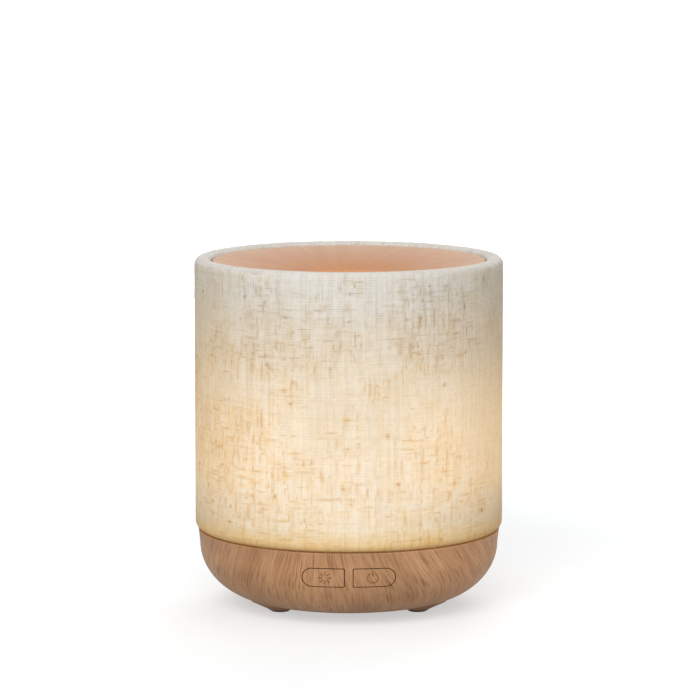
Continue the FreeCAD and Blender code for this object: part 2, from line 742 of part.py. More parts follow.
def power_icon(x, z):
    """A ring open at the top, with a short upright."""
    ring_r = 1.75
    ring = along_y(ring_r + ICON_LINE / 2, -60, -40, x, z).cut(along_y(ring_r - ICON_LINE / 2, -61, -39, x, z))
    ring = ring.cut(icon_bar(x, z + ring_r, 1.5, 1.6, 0))
    return [ring, icon_bar(x, z + ring_r * 0.8, ICON_LINE, 1.7, 0)]


def button(side, icon):
    """A button cap flush with the bowl, with a lip behind the wall and a stem that meets its switch."""
    middle = (BUTTON_LOW_Z + BUTTON_HIGH_Z) / 2
    stem_x = side * (BUTTON_NEAR_X + BUTTON_FAR_X) / 2
    outer = base_solid(0, BASE_TOP_Z)
    cap = button_prism(side, BUTTON_GAP, 0.4, FRONT_Y, BUTTON_FLANGE_Y + BUTTON_FLANGE_T).common(outer)
    lip = button_prism(side, -BUTTON_LIP, 0, BUTTON_FLANGE_Y, BUTTON_FLANGE_Y + BUTTON_FLANGE_T)
    half = span_box((0.25, -60, 0), (60, -30, 40)) if side > 0 else span_box((-60, -60, 0), (-0.25, -30, 40))
    stem = along_y(1.5, BUTTON_FLANGE_Y, SWITCH_FACE_Y, stem_x, middle)
    skin = outer.cut(base_solid(ICON_DEPTH, BASE_TOP_Z))
    marks = [mark.common(skin) for mark in icon(side * ICON_X, middle)]
    return cut(fuse([cap, lip.common(half), stem]), marks)


def light_button():
    return button(-1, light_icon)


def mist_button():
    return button(1, power_icon)


def switch_centre(side):
    return side * (BUTTON_NEAR_X + BUTTON_FAR_X) / 2, (BUTTON_LOW_Z + BUTTON_HIGH_Z) / 2


def switch_bodies():
    bodies = []
    for side in (-1, 1):
        x, z = switch_centre(side)
        body = span_box((x - 3, SWITCH_BODY_Y, z - 3), (x + 3, BUTTON_BOARD_Y, z + 3))
        body = body.makeChamfer(0.4, [e for e in body.Edges if abs(e.CenterOfMass.y - SWITCH_BODY_Y) < 1e-3])
        bodies.append(body.cut(along_y(1.8, SWITCH_BODY_Y - 1, SWITCH_BODY_Y + 1.8, x, z)))
    return group(bodies)


def switch_plunger(side):
    x, z = switch_centre(side)
    return along_y(1.7, SWITCH_FACE_Y, SWITCH_BODY_Y + 1.1, x, z)


def button_board():
    return span_box((-16.5, BUTTON_BOARD_Y, BOARD_Z + BOARD_T), (16.5, BUTTON_BOARD_Y + 1.2, 21.4))


def board_header():
    """The strip of right-angle pins that joins the button board to the main board."""
    y = BUTTON_BOARD_Y + 1.2
    low = BOARD_Z + BOARD_T
    strip = span_box((-5, y, low), (5, y + 2.4, low + 2.4))
    notch = [block(0.8, 3, low + 1.6, low + 3, V(x, y + 1.2, 0)) for x in (-2.5, 0, 2.5)]
    return cut(strip, notch)


# ---- fan ----
def fan_centre():
    return polar(FAN_PLACE_R, FAN_ANGLE)


def fan_hole_places():
    at = FAN_HOLE_OFFSET
    return [on_board(FAN_PLACE_R + i * at, j * at) for i in (-1, 1) for j in (-1, 1)]


def fan_plate(low, high, bore_r, hole_r):
    """A square plate with the fan's opening and its corner holes."""
    plate = block(FAN_SIDE, FAN_SIDE, low, high, fan_centre(), FAN_ANGLE)
    plate = plate.makeFillet(2.5, [e for e in plate.Edges if abs(e.tangentAt(e.FirstParameter).z) > 0.9])
    holes = [cylinder(hole_r, low - 1, high + 1, p) for p in fan_hole_places()]
    return cut(plate, [cylinder(bore_r, low - 1, high + 1, fan_centre())] + holes)


def fan_gasket():
    return fan_plate(FLOOR_Z, FAN_Z, FAN_BORE_R, SCREW_R + 0.2)


def fan_housing():
    """A square frame with a round duct, a post at each screw, and struts that carry the bearing's sleeve."""
    place = fan_centre()
    top = FAN_Z + FAN_H
    duct_r, strut_t = 15.0, 1.0
    square = block(FAN_SIDE, FAN_SIDE, FAN_Z, top, place, FAN_ANGLE)
    plates = [
        fan_plate(FAN_Z, FAN_Z + FAN_PLATE_T, FAN_BORE_R, SCREW_R + 0.1),
        fan_plate(top - FAN_PLATE_T, top, FAN_BORE_R, SCREW_R + 0.1),
    ]
    duct = tube(duct_r, FAN_BORE_R, FAN_Z, top, place)
    posts = [tube(2.4, SCREW_R + 0.1, FAN_Z, top, p).common(square) for p in fan_hole_places()]
    mount = cylinder(6.4, FAN_Z, FAN_Z + strut_t, place)
    reach = cylinder(FAN_BORE_R + 0.5, FAN_Z - CUT_MARGIN, top, place)
    bars = [block(FAN_SIDE, 1.6, FAN_Z, FAN_Z + strut_t, place, FAN_ANGLE + a) for a in (0, 90)]
    struts = [bar.common(reach) for bar in bars]
    sleeve = cylinder(FAN_SLEEVE_R, FAN_Z + strut_t, FAN_Z + FAN_SLEEVE_TOP, place)
    bore = cylinder(FAN_BEARING_R, FAN_Z + strut_t, FAN_Z + FAN_SLEEVE_TOP + CUT_MARGIN, place)
    return cut(fuse(plates + [duct, mount, sleeve] + struts + posts), [bore])


def fan_bearing():
    return tube(FAN_BEARING_R, FAN_SHAFT_R + RUNNING_GAP, FAN_Z + 1.2, FAN_Z + FAN_SLEEVE_TOP, fan_centre())


def fan_shaft():
    return cylinder(FAN_SHAFT_R, FAN_Z + ROTOR_LOW, FAN_Z + ROTOR_HIGH, fan_centre())


def fan_stator():
    """The core with four arms, and a coil round each arm."""
    place = fan_centre()
    arm_length, coil_r = 12.0, 5.2
    core = tube(3.6, FAN_SLEEVE_R, FAN_Z + 1.3, FAN_Z + 4.8, place)
    arms = [block(arm_length, 1.6, FAN_Z + 2.3, FAN_Z + 3.8, place, a) for a in (0, 90)]
    winding = tube(coil_r, FAN_SLEEVE_R, FAN_Z + 1.5, FAN_Z + 4.6, place)
    coils = [winding.common(block(arm_length, 3.4, FAN_Z, FAN_Z + FAN_H, place, a)) for a in (0, 90)]
    bore = cylinder(FAN_SLEEVE_R, FAN_Z, FAN_Z + FAN_H, place)
    return cut(fuse([core] + arms + coils), [bore])


def rotor_magnet():
    return tube(MAGNET_R, MAGNET_INNER_R, FAN_Z + 1.5, FAN_Z + 5.0, fan_centre())


def fan_rotor():
    """A cup over the stator, with a boss on the shaft and pitched blades round it."""
    place = fan_centre()
    low, high = FAN_Z + ROTOR_LOW, FAN_Z + ROTOR_HIGH
    roof = high - 1.0
    blade_length, blade_t, blade_width = 10.0, 0.9, 12.0
    cup = cylinder(ROTOR_HUB_R, low, high, place).cut(cylinder(MAGNET_R, low - CUT_MARGIN, roof, place))
    boss = cylinder(1.8, roof - 0.15, high, place)
    space = tube(ROTOR_TIP_R, ROTOR_HUB_R - 0.3, low, high, place)
    blades = []
    for i in range(BLADES):
        corner = V(ROTOR_HUB_R - 1.4, -blade_t / 2, -blade_width / 2)
        blade = Part.makeBox(blade_length, blade_t, blade_width, corner)
        blade.rotate(ORIGIN, X_AXIS, BLADE_PITCH)
        blade.rotate(ORIGIN, Z_AXIS, 360 * i / BLADES)
        blade.translate(V(place.x, place.y, (low + high) / 2))
        blades.append(blade.common(space))
    shaft_hole = cylinder(FAN_SHAFT_R, low - CUT_MARGIN, high + CUT_MARGIN, place)
    return cut(fuse([cup, boss] + blades), [shaft_hole])


def air_duct():
    """The hood over the fan, with a collar round the tank's air chimney."""
    place = fan_centre()
    outlet = polar(CHIMNEY_PLACE_R, FAN_ANGLE)
    low = FAN_Z + FAN_H
    solids = [
        fan_plate(low, low + DUCT_WALL, DUCT_R - 1.0, SCREW_R + 0.1),
        cylinder(DUCT_R, low, DUCT_ROOF_Z, place),
        cylinder(DUCT_COLLAR_R, low + 0.4, DUCT_TOP_Z, outlet),
    ]
    hollow = [
        cylinder(DUCT_R - 1.0, low - CUT_MARGIN, DUCT_ROOF_Z - DUCT_WALL, place),
        cylinder(DUCT_COLLAR_INNER_R, low + 1.6, DUCT_TOP_Z + CUT_MARGIN, outlet),
    ]
    return cut(fuse(solids), hollow)


def duct_seal():
    place = polar(CHIMNEY_PLACE_R, FAN_ANGLE)
    return tube(DUCT_COLLAR_INNER_R, CHIMNEY_OUTER_R, CHIMNEY_BOTTOM_Z, DUCT_TOP_Z, place)


def fan_screws():
    seat = FAN_Z + FAN_H + DUCT_WALL
    tip, head_r, head_h = FAN_SCREW_TIP_Z, 2.2, 1.4
    return group([screw(SCREW_R, seat, tip, p, head_r, head_h, up=False) for p in fan_hole_places()])


# ---- main board and its parts ----
def main_board():
    low, high = BOARD_Z, BOARD_Z + BOARD_T
    board = cylinder(BOARD_R, low, high)
    side = block(90, 90, low - 1, high + 1, on_board(BOARD_EDGE_S + 45, 0), FAN_ANGLE)
    holes = [cylinder(1.1, low - 1, high + 1, on_board(*p)) for p in BOARD_HOLES]
    boss_hole = cylinder(HOUSING_BOSS_R + 0.5, low - 1, high + 1, polar(FOOT_PLACE_R, FOOT_ANGLES[1]))
    return cut(board, [side, boss_hole] + holes)


def board_screws():
    seat = BOARD_Z + BOARD_T
    head_r, head_h = 1.9, 1.2
    places = [on_board(*p) for p in BOARD_HOLES]
    return group([screw(BOARD_SCREW_R, seat, BOARD_SCREW_TIP_Z, p, head_r, head_h, up=False) for p in places])


def inductor():
    place = on_board(-26.7, 10)
    low = BOARD_Z + BOARD_T
    flanges = [cylinder(4.6, low, low + 1.4, place), cylinder(4.6, low + 6.6, low + 8, place)]
    return fuse([cylinder(4.1, low + 1.4, low + 6.6, place)] + flanges)


def capacitors():
    low = BOARD_Z + BOARD_T
    cans = []
    for s, t, radius, height in ((-16, -12, 3.15, 9.0), (-23.5, -14, 2.5, 8.0)):
        can = cylinder(radius, low, low + height, on_board(s, t))
        cans.append(can.makeFillet(0.4, [e for e in can.Edges if abs(e.BoundBox.ZMin - low - height) < 1e-3]))
    return group(cans)


def chips():
    low = BOARD_Z + BOARD_T
    return group([
        block(5, 4, low, low + 1.6, on_board(-16, 8), FAN_ANGLE),
        block(6.4, 4.4, low, low + 1.6, on_board(-23, -23), FAN_ANGLE),
    ])


def driver_transistor():
    low = BOARD_Z + BOARD_T
    return block(3.2, 8, low, low + 9, on_board(-14.6, 20), FAN_ANGLE)


def heatsink():
    low = BOARD_Z + BOARD_T
    plate = block(1.6, 13, low, low + 11, on_board(-17.0, 20), FAN_ANGLE)
    fins = [block(3.4, 1.0, low, low + 11, on_board(-19.3, 20 + i * 3), FAN_ANGLE) for i in (-2, -1, 0, 1, 2)]
    return fuse([plate] + fins)


def wire_connectors():
    """Four two-pin plug-in connectors: light ring, mist disc, fan and power."""
    low = BOARD_Z + BOARD_T
    shells = []
    for t in CONNECTOR_TS:
        shell = block(4.6, 6.4, low, low + 5, on_board(CONNECTOR_S, t), FAN_ANGLE)
        shells.append(shell.cut(block(3.2, 5.0, low + 4, low + 6, on_board(CONNECTOR_S, t), FAN_ANGLE)))
    return group(shells)


def connector_top(index, offset):
    """Where a wire enters connector index, in its recess."""
    return on_board(CONNECTOR_S, CONNECTOR_TS[index] + offset, BOARD_Z + BOARD_T + 4.0)


def upward_wires(starts, ends):
    """Wires that leave their connector upwards and rise to the underside of what they feed."""
    return group([wire_run([s, (s + e) / 2, e], Z_AXIS * 6, Z_AXIS * 6) for s, e in zip(starts, ends)])


def led_wires():
    ends = [polar(LED_BOARD_INNER_R + 1.6, LED_WIRE_ANGLE + d, LED_BOARD_Z) for d in WIRE_OFFSETS]
    return upward_wires([connector_top(0, d) for d in WIRE_OFFSETS], ends)


def mist_disc_wires():
    ends = [polar(3.0, FAN_ANGLE + 180 + 20 * d, MIST_DISC_Z) for d in WIRE_OFFSETS]
    return upward_wires([connector_top(1, d) for d in WIRE_OFFSETS], ends)


def fan_wires():
    """From the connector, over and down into the side of the fan's frame."""
    inward = on_board(8, 0)
    runs = []
    for offset in WIRE_OFFSETS:
        start = connector_top(2, offset)
        end = on_board(FAN_PLACE_R - FAN_SIDE / 2, 4.0 + offset, FAN_Z + FAN_H - FAN_PLATE_T / 2)
        crest = on_board(-4.0, 5.0 + offset, 17.0)
        runs.append(wire_run([start, crest, end], Z_AXIS * 6, inward))
    return group(runs)


def power_wires():
    """From the connector, round the rear screw boss and in from the side to the inlet's terminals."""
    runs = []
    for offset, rise in zip(WIRE_OFFSETS, (-JACK_TERMINAL_RISE, JACK_TERMINAL_RISE)):
        start = connector_top(3, offset)
        bend = V(-10.0, 27.5, JACK_Z + rise)
        end = V(-1.0, JACK_BACK_Y - 1.0, JACK_Z + rise)
        runs.append(wire_run([start, bend, end], Z_AXIS * 10, X_AXIS * 12))
    return group(runs)


# ---- light ring ----
def led_board():
    ring = tube(LED_BOARD_R, LED_BOARD_INNER_R, LED_BOARD_Z, LED_BOARD_Z + LED_BOARD_T)
    notch = span_box((-18, -50, 20), (18, -41.2, 30))
    holes = [cylinder(1.1, 20, 25, polar(LED_PLACE_R, a)) for a in LED_SCREW_ANGLES]
    return cut(ring, [notch] + holes)


def leds():
    low = LED_BOARD_Z + LED_BOARD_T
    step = 360 / LED_COUNT
    angles = [step * i for i in range(LED_COUNT) if abs(step * i - 270) > 1]
    return group([block(3.5, 3.5, low, low + 1.2, polar(LED_PLACE_R, a), a) for a in angles])


def led_board_screws():
    head_r, head_h = 1.7, 1.0
    places = [polar(LED_PLACE_R, a) for a in LED_SCREW_ANGLES]
    return group([screw(BOARD_SCREW_R, LED_BOARD_Z, LED_SCREW_TIP_Z, p, head_r, head_h) for p in places])


# ---- power inlet ----
def dc_jack():
    body = along_y(JACK_R, JACK_BACK_Y, JACK_FACE_Y, 0, JACK_Z)
    mouth = JACK_FACE_Y + JACK_FLANGE_T
    flange = along_y(JACK_FLANGE_R, JACK_FACE_Y, mouth, 0, JACK_Z)
    flange = flange.makeFillet(0.4, [e for e in flange.Edges if abs(e.BoundBox.YMin - mouth) < 1e-3])
    bore = along_y(JACK_BORE_R, mouth - JACK_BORE_DEPTH, mouth + 1, 0, JACK_Z)
    pin_seat = along_y(JACK_PIN_ROOT_R, JACK_BACK_Y - 1, mouth, 0, JACK_Z)
    return cut(fuse([body, flange]), [bore, pin_seat])


def jack_pin():
    tip_y = JACK_FACE_Y + 0.7
    pin = along_y(JACK_PIN_R, JACK_FACE_Y + JACK_FLANGE_T - JACK_BORE_DEPTH, tip_y, 0, JACK_Z)
    pin = pin.makeFillet(0.4, [e for e in pin.Edges if abs(e.BoundBox.YMin - tip_y) < 1e-3])
    root = along_y(JACK_PIN_ROOT_R, JACK_BACK_Y, JACK_FACE_Y, 0, JACK_Z)
    return fuse([pin, root])


def jack_terminals():
    y = JACK_BACK_Y
    levels = [JACK_Z + side * JACK_TERMINAL_RISE for side in (-1, 1)]
    return group([span_box((-1.0, y - 2.0, z - 0.4), (1.0, y, z + 0.4)) for z in levels])


def jack_nut():
    corners = []
    for i in range(7):
        angle = math.radians(60 * i)
        x = JACK_NUT_CORNER_R * math.cos(angle)
        z = JACK_Z + JACK_NUT_CORNER_R * math.sin(angle)
        corners.append(V(x, JACK_PAD_Y - JACK_NUT_T, z))
    hexagon = Part.Face(Part.makePolygon(corners)).extrude(Y_AXIS * JACK_NUT_T)
    low, high = JACK_PAD_Y - JACK_NUT_T - CUT_MARGIN, JACK_PAD_Y + CUT_MARGIN
    thread = along_y(JACK_R + THREAD_GAP, low, high, 0, JACK_Z)
    return hexagon.cut(thread)


NODES = {
    "shade_fabric": shade_fabric,
    "shade_shell": shade_shell,
    "top_dish": top_dish,
    "mist_spout": mist_spout,
    "dish_screws": dish_screws,
    "inner_lid": inner_lid,
    "mist_pipe": mist_pipe,
    "splash_baffle": splash_baffle,
    "water_tank": tank,
    "mist_disc": mist_disc,
    "mist_disc_seal": mist_disc_seal,
    "mist_disc_clamp": mist_disc_clamp,
    "mist_disc_screws": mist_disc_screws,
    "deck_gasket": deck_gasket,
    "base_shell": base_shell,
    "rating_label": rating_label,
    "foot_pads": foot_pads,
    "housing_screws": housing_screws,
    "light_button": light_button,
    "mist_button": mist_button,
    "switch_bodies": switch_bodies,
    "light_switch_plunger": lambda: switch_plunger(-1),
    "mist_switch_plunger": lambda: switch_plunger(1),
    "button_board": button_board,
    "board_header": board_header,
    "fan_gasket": fan_gasket,
    "fan_housing": fan_housing,
    "fan_bearing": fan_bearing,
    "fan_shaft": fan_shaft,
    "fan_stator": fan_stator,
    "rotor_magnet": rotor_magnet,
    "fan_rotor": fan_rotor,
    "fan_screws": fan_screws,
    "air_duct": air_duct,
    "duct_seal": duct_seal,
    "main_board": main_board,
    "board_screws": board_screws,
    "inductor": inductor,
    "capacitors": capacitors,
    "chips": chips,
    "driver_transistor": driver_transistor,
    "heatsink": heatsink,
    "wire_connectors": wire_connectors,
    "led_wires": led_wires,
    "mist_disc_wires": mist_disc_wires,
    "fan_wires": fan_wires,
    "power_wires": power_wires,
    "led_board": led_board,
    "leds": leds,
    "led_board_screws": led_board_screws,
    "dc_jack": dc_jack,
    "jack_pin": jack_pin,
    "jack_terminals": jack_terminals,
    "jack_nut": jack_nut,
}


def main():
    os.makedirs("parts", exist_ok=True)
    for name, make in NODES.items():
        shape = make()
        if not shape.isValid() or not shape.Solids or any(s.Volume <= 0 for s in shape.Solids):
            raise ValueError(f"{name} is not a set of sound solids")
        shape.exportStep(f"parts/{name}.step")
        print(f"{name}: {len(shape.Solids)} solid(s), {shape.Volume:.1f} mm3")


main()
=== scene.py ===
"""Looks for the essential oil diffuser: linen, wood grain, plastics and metals on the CAD frame."""

import json
import math

import bpy
import numpy as np
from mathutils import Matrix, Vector


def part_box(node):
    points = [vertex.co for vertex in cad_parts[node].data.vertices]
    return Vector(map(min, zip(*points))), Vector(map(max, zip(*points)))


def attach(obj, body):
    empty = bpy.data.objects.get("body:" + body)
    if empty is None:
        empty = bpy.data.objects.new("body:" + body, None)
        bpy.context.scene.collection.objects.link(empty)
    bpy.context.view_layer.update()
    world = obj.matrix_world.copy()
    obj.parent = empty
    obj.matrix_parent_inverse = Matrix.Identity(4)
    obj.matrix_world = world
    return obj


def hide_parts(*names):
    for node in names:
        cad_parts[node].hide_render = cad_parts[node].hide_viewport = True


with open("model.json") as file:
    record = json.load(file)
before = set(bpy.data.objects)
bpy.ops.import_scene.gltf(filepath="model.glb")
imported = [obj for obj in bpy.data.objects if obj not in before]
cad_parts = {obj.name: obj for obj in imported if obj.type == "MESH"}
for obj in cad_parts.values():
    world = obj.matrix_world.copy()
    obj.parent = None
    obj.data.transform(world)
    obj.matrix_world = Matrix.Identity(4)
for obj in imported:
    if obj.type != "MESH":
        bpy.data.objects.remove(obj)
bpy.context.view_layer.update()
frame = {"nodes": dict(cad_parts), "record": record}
nodes = frame["nodes"]
rng = np.random.default_rng(7)

MM = 0.001
SHADE_LOW, SHADE_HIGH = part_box("shade_fabric")
SHADE_R = SHADE_HIGH.x
TOP_Z = SHADE_HIGH.z
SEAM_Z = SHADE_LOW.z
THREAD = 0.78 * MM
CLOTH_THICK = 0.5 * MM
SLUB_LIFT = 0.12
WAVE_LIFT = 0.10
EDGE_ROWS = 4
BACK_STEP = 6
LAP_WIDTH = 9.0 * MM
LAP_RISE = 0.30
WORLD_LIGHT = 0.46
FIELD_NAMES = ("slub", "stain", "speck", "tone")


# ---- short calls for node trees ----
class Tree:
    """One material's node tree, written as nested calls."""

    def __init__(self, name):
        self.material = bpy.data.materials.new(name)
        self.material.use_nodes = True
        self.tree = self.material.node_tree
        self.tree.nodes.clear()
        self.output = self.tree.nodes.new("ShaderNodeOutputMaterial")

    def put(self, socket, value):
        if isinstance(value, bpy.types.NodeSocket):
            self.tree.links.new(value, socket)
        elif isinstance(value, tuple) and len(value) == 3 and socket.type == "RGBA":
            socket.default_value = (*value, 1.0)
        else:
            socket.default_value = value

    def node(self, kind, out=0, inputs=(), **settings):
        made = self.tree.nodes.new("ShaderNode" + kind)
        for key, value in settings.items():
            setattr(made, key, value)
        for key, value in dict(inputs).items():
            self.put(made.inputs[key], value)
        return made.outputs[out]

    def math(self, operation, a, b=0.0, c=0.0):
        return self.node("Math", 0, {0: a, 1: b, 2: c}, operation=operation)

    def add(self, a, b):
        return self.math("ADD", a, b)

    def times(self, a, b):
        return self.math("MULTIPLY", a, b)

    def ramp(self, value, low, high, out_low=0.0, out_high=1.0):
        """A smooth step from out_low to out_high as value goes from low to high."""
        inputs = {"Value": value, "From Min": low, "From Max": high, "To Min": out_low, "To Max": out_high}
        return self.node("MapRange", 0, inputs, interpolation_type="SMOOTHSTEP")

    def slide(self, value, low, high, out_low=0.0, out_high=1.0):
        """The same with a straight slope."""
        inputs = {"Value": value, "From Min": low, "From Max": high, "To Min": out_low, "To Max": out_high}
        return self.node("MapRange", 0, inputs)

    def mix(self, factor, a, b, blend="MIX"):
        inputs = {0: factor, 6: a, 7: b}
        return self.node("Mix", 2, inputs, data_type="RGBA", blend_type=blend, clamp_factor=True)

    def stops(self, value, *points):
        """A colour ramp through (place, colour) points."""
        made = self.tree.nodes.new("ShaderNodeValToRGB")
        ramp = made.color_ramp
        while len(ramp.elements) < len(points):
            ramp.elements.new(0.5)
        for element, (place, colour) in zip(ramp.elements, points):
            element.position = place
            element.color = (*colour, 1.0)
        self.put(made.inputs[0], value)
        return made.outputs[0]

    def tint(self, colour, factor, towards):
        """The colour multiplied part of the way towards another one."""
        return self.mix(factor, colour, self.mix(1.0, colour, towards, "MULTIPLY"))

    def scale(self, colour, amount):
        return self.node("VectorMath", 0, {0: colour, "Scale": amount}, operation="SCALE")

    def grey(self, value):
        return self.join(value, value, value)

    def place(self):
        return self.node("TexCoord", "Object")

    def split(self, vector):
        made = self.tree.nodes.new("ShaderNodeSeparateXYZ")
        self.put(made.inputs[0], vector)
        return made.outputs[0], made.outputs[1], made.outputs[2]

    def join(self, x, y, z):
        return self.node("CombineXYZ", 0, {0: x, 1: y, 2: z})

    def noise(self, vector, scale, detail=3.0, rough=0.55, out=0):
        inputs = {"Vector": vector, "Scale": scale, "Detail": detail, "Roughness": rough}
        return self.node("TexNoise", out, inputs)

    def bump(self, height, distance, strength=1.0, normal=None):
        inputs = {"Height": height, "Distance": distance, "Strength": strength}
        if normal is not None:
            inputs["Normal"] = normal
        return self.node("Bump", 0, inputs)

    def principled(self, **inputs):
        names = {key.replace("_", " ").title().replace("Ior", "IOR"): value for key, value in inputs.items()}
        return self.node("BsdfPrincipled", 0, names)

    def finish(self, shader):
        self.put(self.output.inputs["Surface"], shader)
        return self.material


def blend_shaders(t, factor, a, b):
    return t.node("MixShader", 0, {0: factor, 1: a, 2: b})


# ---- linen ----
def linen():
    """Undyed linen, lit warmly from inside towards the bottom. The mesh holds its slubs, stains and specks."""
    t = Tree("linen")
    across, along, _ = t.split(t.node("UVMap", 0, uv_map="threads"))
    slub, stain, speck, tone = (t.node("Attribute", "Fac", attribute_name=name) for name in FIELD_NAMES)
    x, _, z = t.split(t.place())
    height = t.slide(z, SEAM_Z, TOP_Z)
    gap_shade = t.math("MAXIMUM", *(t.ramp(t.math("PINGPONG", v, 0.5), 0.22, 0.5) for v in (across, along)))
    facing = t.node("LayerWeight", "Facing", {"Blend": 0.5})
    # Painted light and shade in the cloth's colour: browner and darker at the tucked-under bottom edge,
    # lighter towards the top rim.
    cloth = t.stops(height, (0.0, (0.46, 0.32, 0.15)), (0.035, (0.50, 0.40, 0.25)),
                    (0.08, (0.53, 0.495, 0.425)), (0.5, (0.545, 0.505, 0.435)), (0.8, (0.56, 0.525, 0.465)),
                    (1.0, (0.60, 0.575, 0.535)))
    glow = t.stops(height, (0.0, (0.22, 0.14, 0.055)), (0.06, (0.27, 0.18, 0.08)),
                   (0.14, (0.295, 0.21, 0.125)), (0.34, (0.28, 0.18, 0.09)), (0.62, (0.165, 0.10, 0.03)),
                   (0.78, (0.08, 0.038, 0.004)), (0.92, (0.0, 0.0, 0.0)))
    lit = t.ramp(height, 0.45, 0.92, 1.0, 0.0)
    marks = (
        (t.times(stain, 0.85), (0.84, 0.72, 0.53), (0.95, 0.785, 0.49)),
        (t.times(slub, 0.80), (0.60, 0.49, 0.38), (0.78, 0.56, 0.29)),
        (t.times(speck, 0.90), (0.47, 0.35, 0.24), (0.68, 0.38, 0.12)),
    )
    look = t.grey(t.slide(tone, 0.0, 1.0, 0.985, 1.065))
    # Painted shade in the gaps between the threads: they are tinted grey.
    look = t.tint(look, t.times(gap_shade, t.slide(tone, 0.2, 0.8, 0.9, 0.5)), (0.80, 0.79, 0.76))
    through = t.grey(t.slide(tone, 0.0, 1.0, 0.99, 1.03))
    _, _, up = t.split(t.node("NewGeometry", "Normal"))
    on_side = t.ramp(up, 0.3, 0.9, 1.0, 0.3)
    for amount, unlit_mark, lit_mark in marks:
        amount = t.times(amount, on_side)
        mark = t.mix(lit, unlit_mark, lit_mark)
        look, through = t.tint(look, amount, mark), t.tint(through, amount, mark)
    cloth = t.mix(1.0, cloth, look, "MULTIPLY")
    # Painted shade: the cloth darkens and yellows towards its side edges, where it turns away from view.
    edge_shade = t.times(t.ramp(facing, 0.05, 0.65), t.ramp(up, 0.1, 0.5, 1.0, 0.0))
    cloth = t.tint(cloth, edge_shade, (0.95, 0.90, 0.80))
    # Painted light: the glow swells on the sides at mid height, more on the +X side.
    swell = t.times(t.ramp(height, 0.08, 0.26), t.ramp(height, 0.34, 0.72, 1.0, 0.0))
    sides = t.ramp(t.math("ABSOLUTE", x), 0.1 * SHADE_R, 0.65 * SHADE_R)
    swell = t.times(swell, t.times(t.slide(x, -SHADE_R, SHADE_R, 0.35, 1.0), sides))
    glow = t.mix(1.0, t.mix(swell, glow, (0.42, 0.28, 0.14)), through, "MULTIPLY")
    # Painted shade: the glow fades and turns more orange where the cloth turns away from view, most at the
    # bottom.
    least = t.mix(t.ramp(height, 0.04, 0.24), (0.40, 0.28, 0.12), (0.84, 0.72, 0.50))
    rim_loss = t.mix(facing, (1.0, 1.0, 1.0), least)
    glow = t.mix(1.0, glow, rim_loss, "MULTIPLY")
    fibre = t.noise(t.join(t.times(across, 9.0), t.times(along, 9.0), 1.0), 1.0, 3.0)
    normal = t.bump(t.add(fibre, t.times(slub, 0.5)), 0.08 * MM, 0.5)
    shader = t.principled(base_color=cloth, roughness=0.9, normal=normal, sheen_weight=0.06,
                          sheen_roughness=0.5, specular_ior_level=0.15, emission_color=glow,
                          emission_strength=1.0)
    return t.finish(shader)


def patches(rows, columns, row_step, column_step):
    """A smooth random field from 0 to 1, turning about every step samples. It loops across the columns."""
    knots_r = max(3, round(rows / row_step))
    knots_c = max(3, round(columns / column_step))
    grid = rng.random((knots_r + 1, knots_c))
    r = np.arange(rows) / rows * knots_r
    c = np.arange(columns) / columns * knots_c
    r0 = np.floor(r).astype(int)
    c0 = np.floor(c).astype(int)
    c1 = (c0 + 1) % knots_c
    fr = ease(r - r0)[:, None]
    fc = ease(c - c0)[None, :]
    upper = grid[r0][:, c0] * (1 - fc) + grid[r0][:, c1] * fc
    lower = grid[r0 + 1][:, c0] * (1 - fc) + grid[r0 + 1][:, c1] * fc
    return upper * (1 - fr) + lower * fr


def ease(part):
    return part * part * (3 - 2 * part)


def above(field, low, high):
    """0 where the field is under low, 1 where it is over high, and a smooth step between."""
    return ease(np.clip((field - low) / (high - low), 0, 1))


def dashes(busy, count, tall, wide):
    """Short uneven marks, up to tall by wide half-threads in reach, that crowd where the cloth is busy."""
    rows, columns = busy.shape
    made = np.zeros((rows, columns))
    for _ in range(count):
        r, c = rng.integers(rows), rng.integers(columns)
        high, broad = rng.uniform(*tall), rng.uniform(*wide)
        strength = rng.uniform(0.35, 1.0)
        if rng.random() > busy[r, c]:
            continue
        up = np.arange(max(0, r - round(2 * high) - 1), min(rows, r + round(2 * high) + 2))
        around = np.arange(c - round(2 * broad) - 1, c + round(2 * broad) + 2)
        shape = np.exp(-((up - r) / high) ** 2)[:, None] * np.exp(-((around - c) / broad) ** 2)[None, :]
        spot = np.ix_(up, around % columns)
        made[spot] = np.maximum(made[spot], shape * strength)
    return made


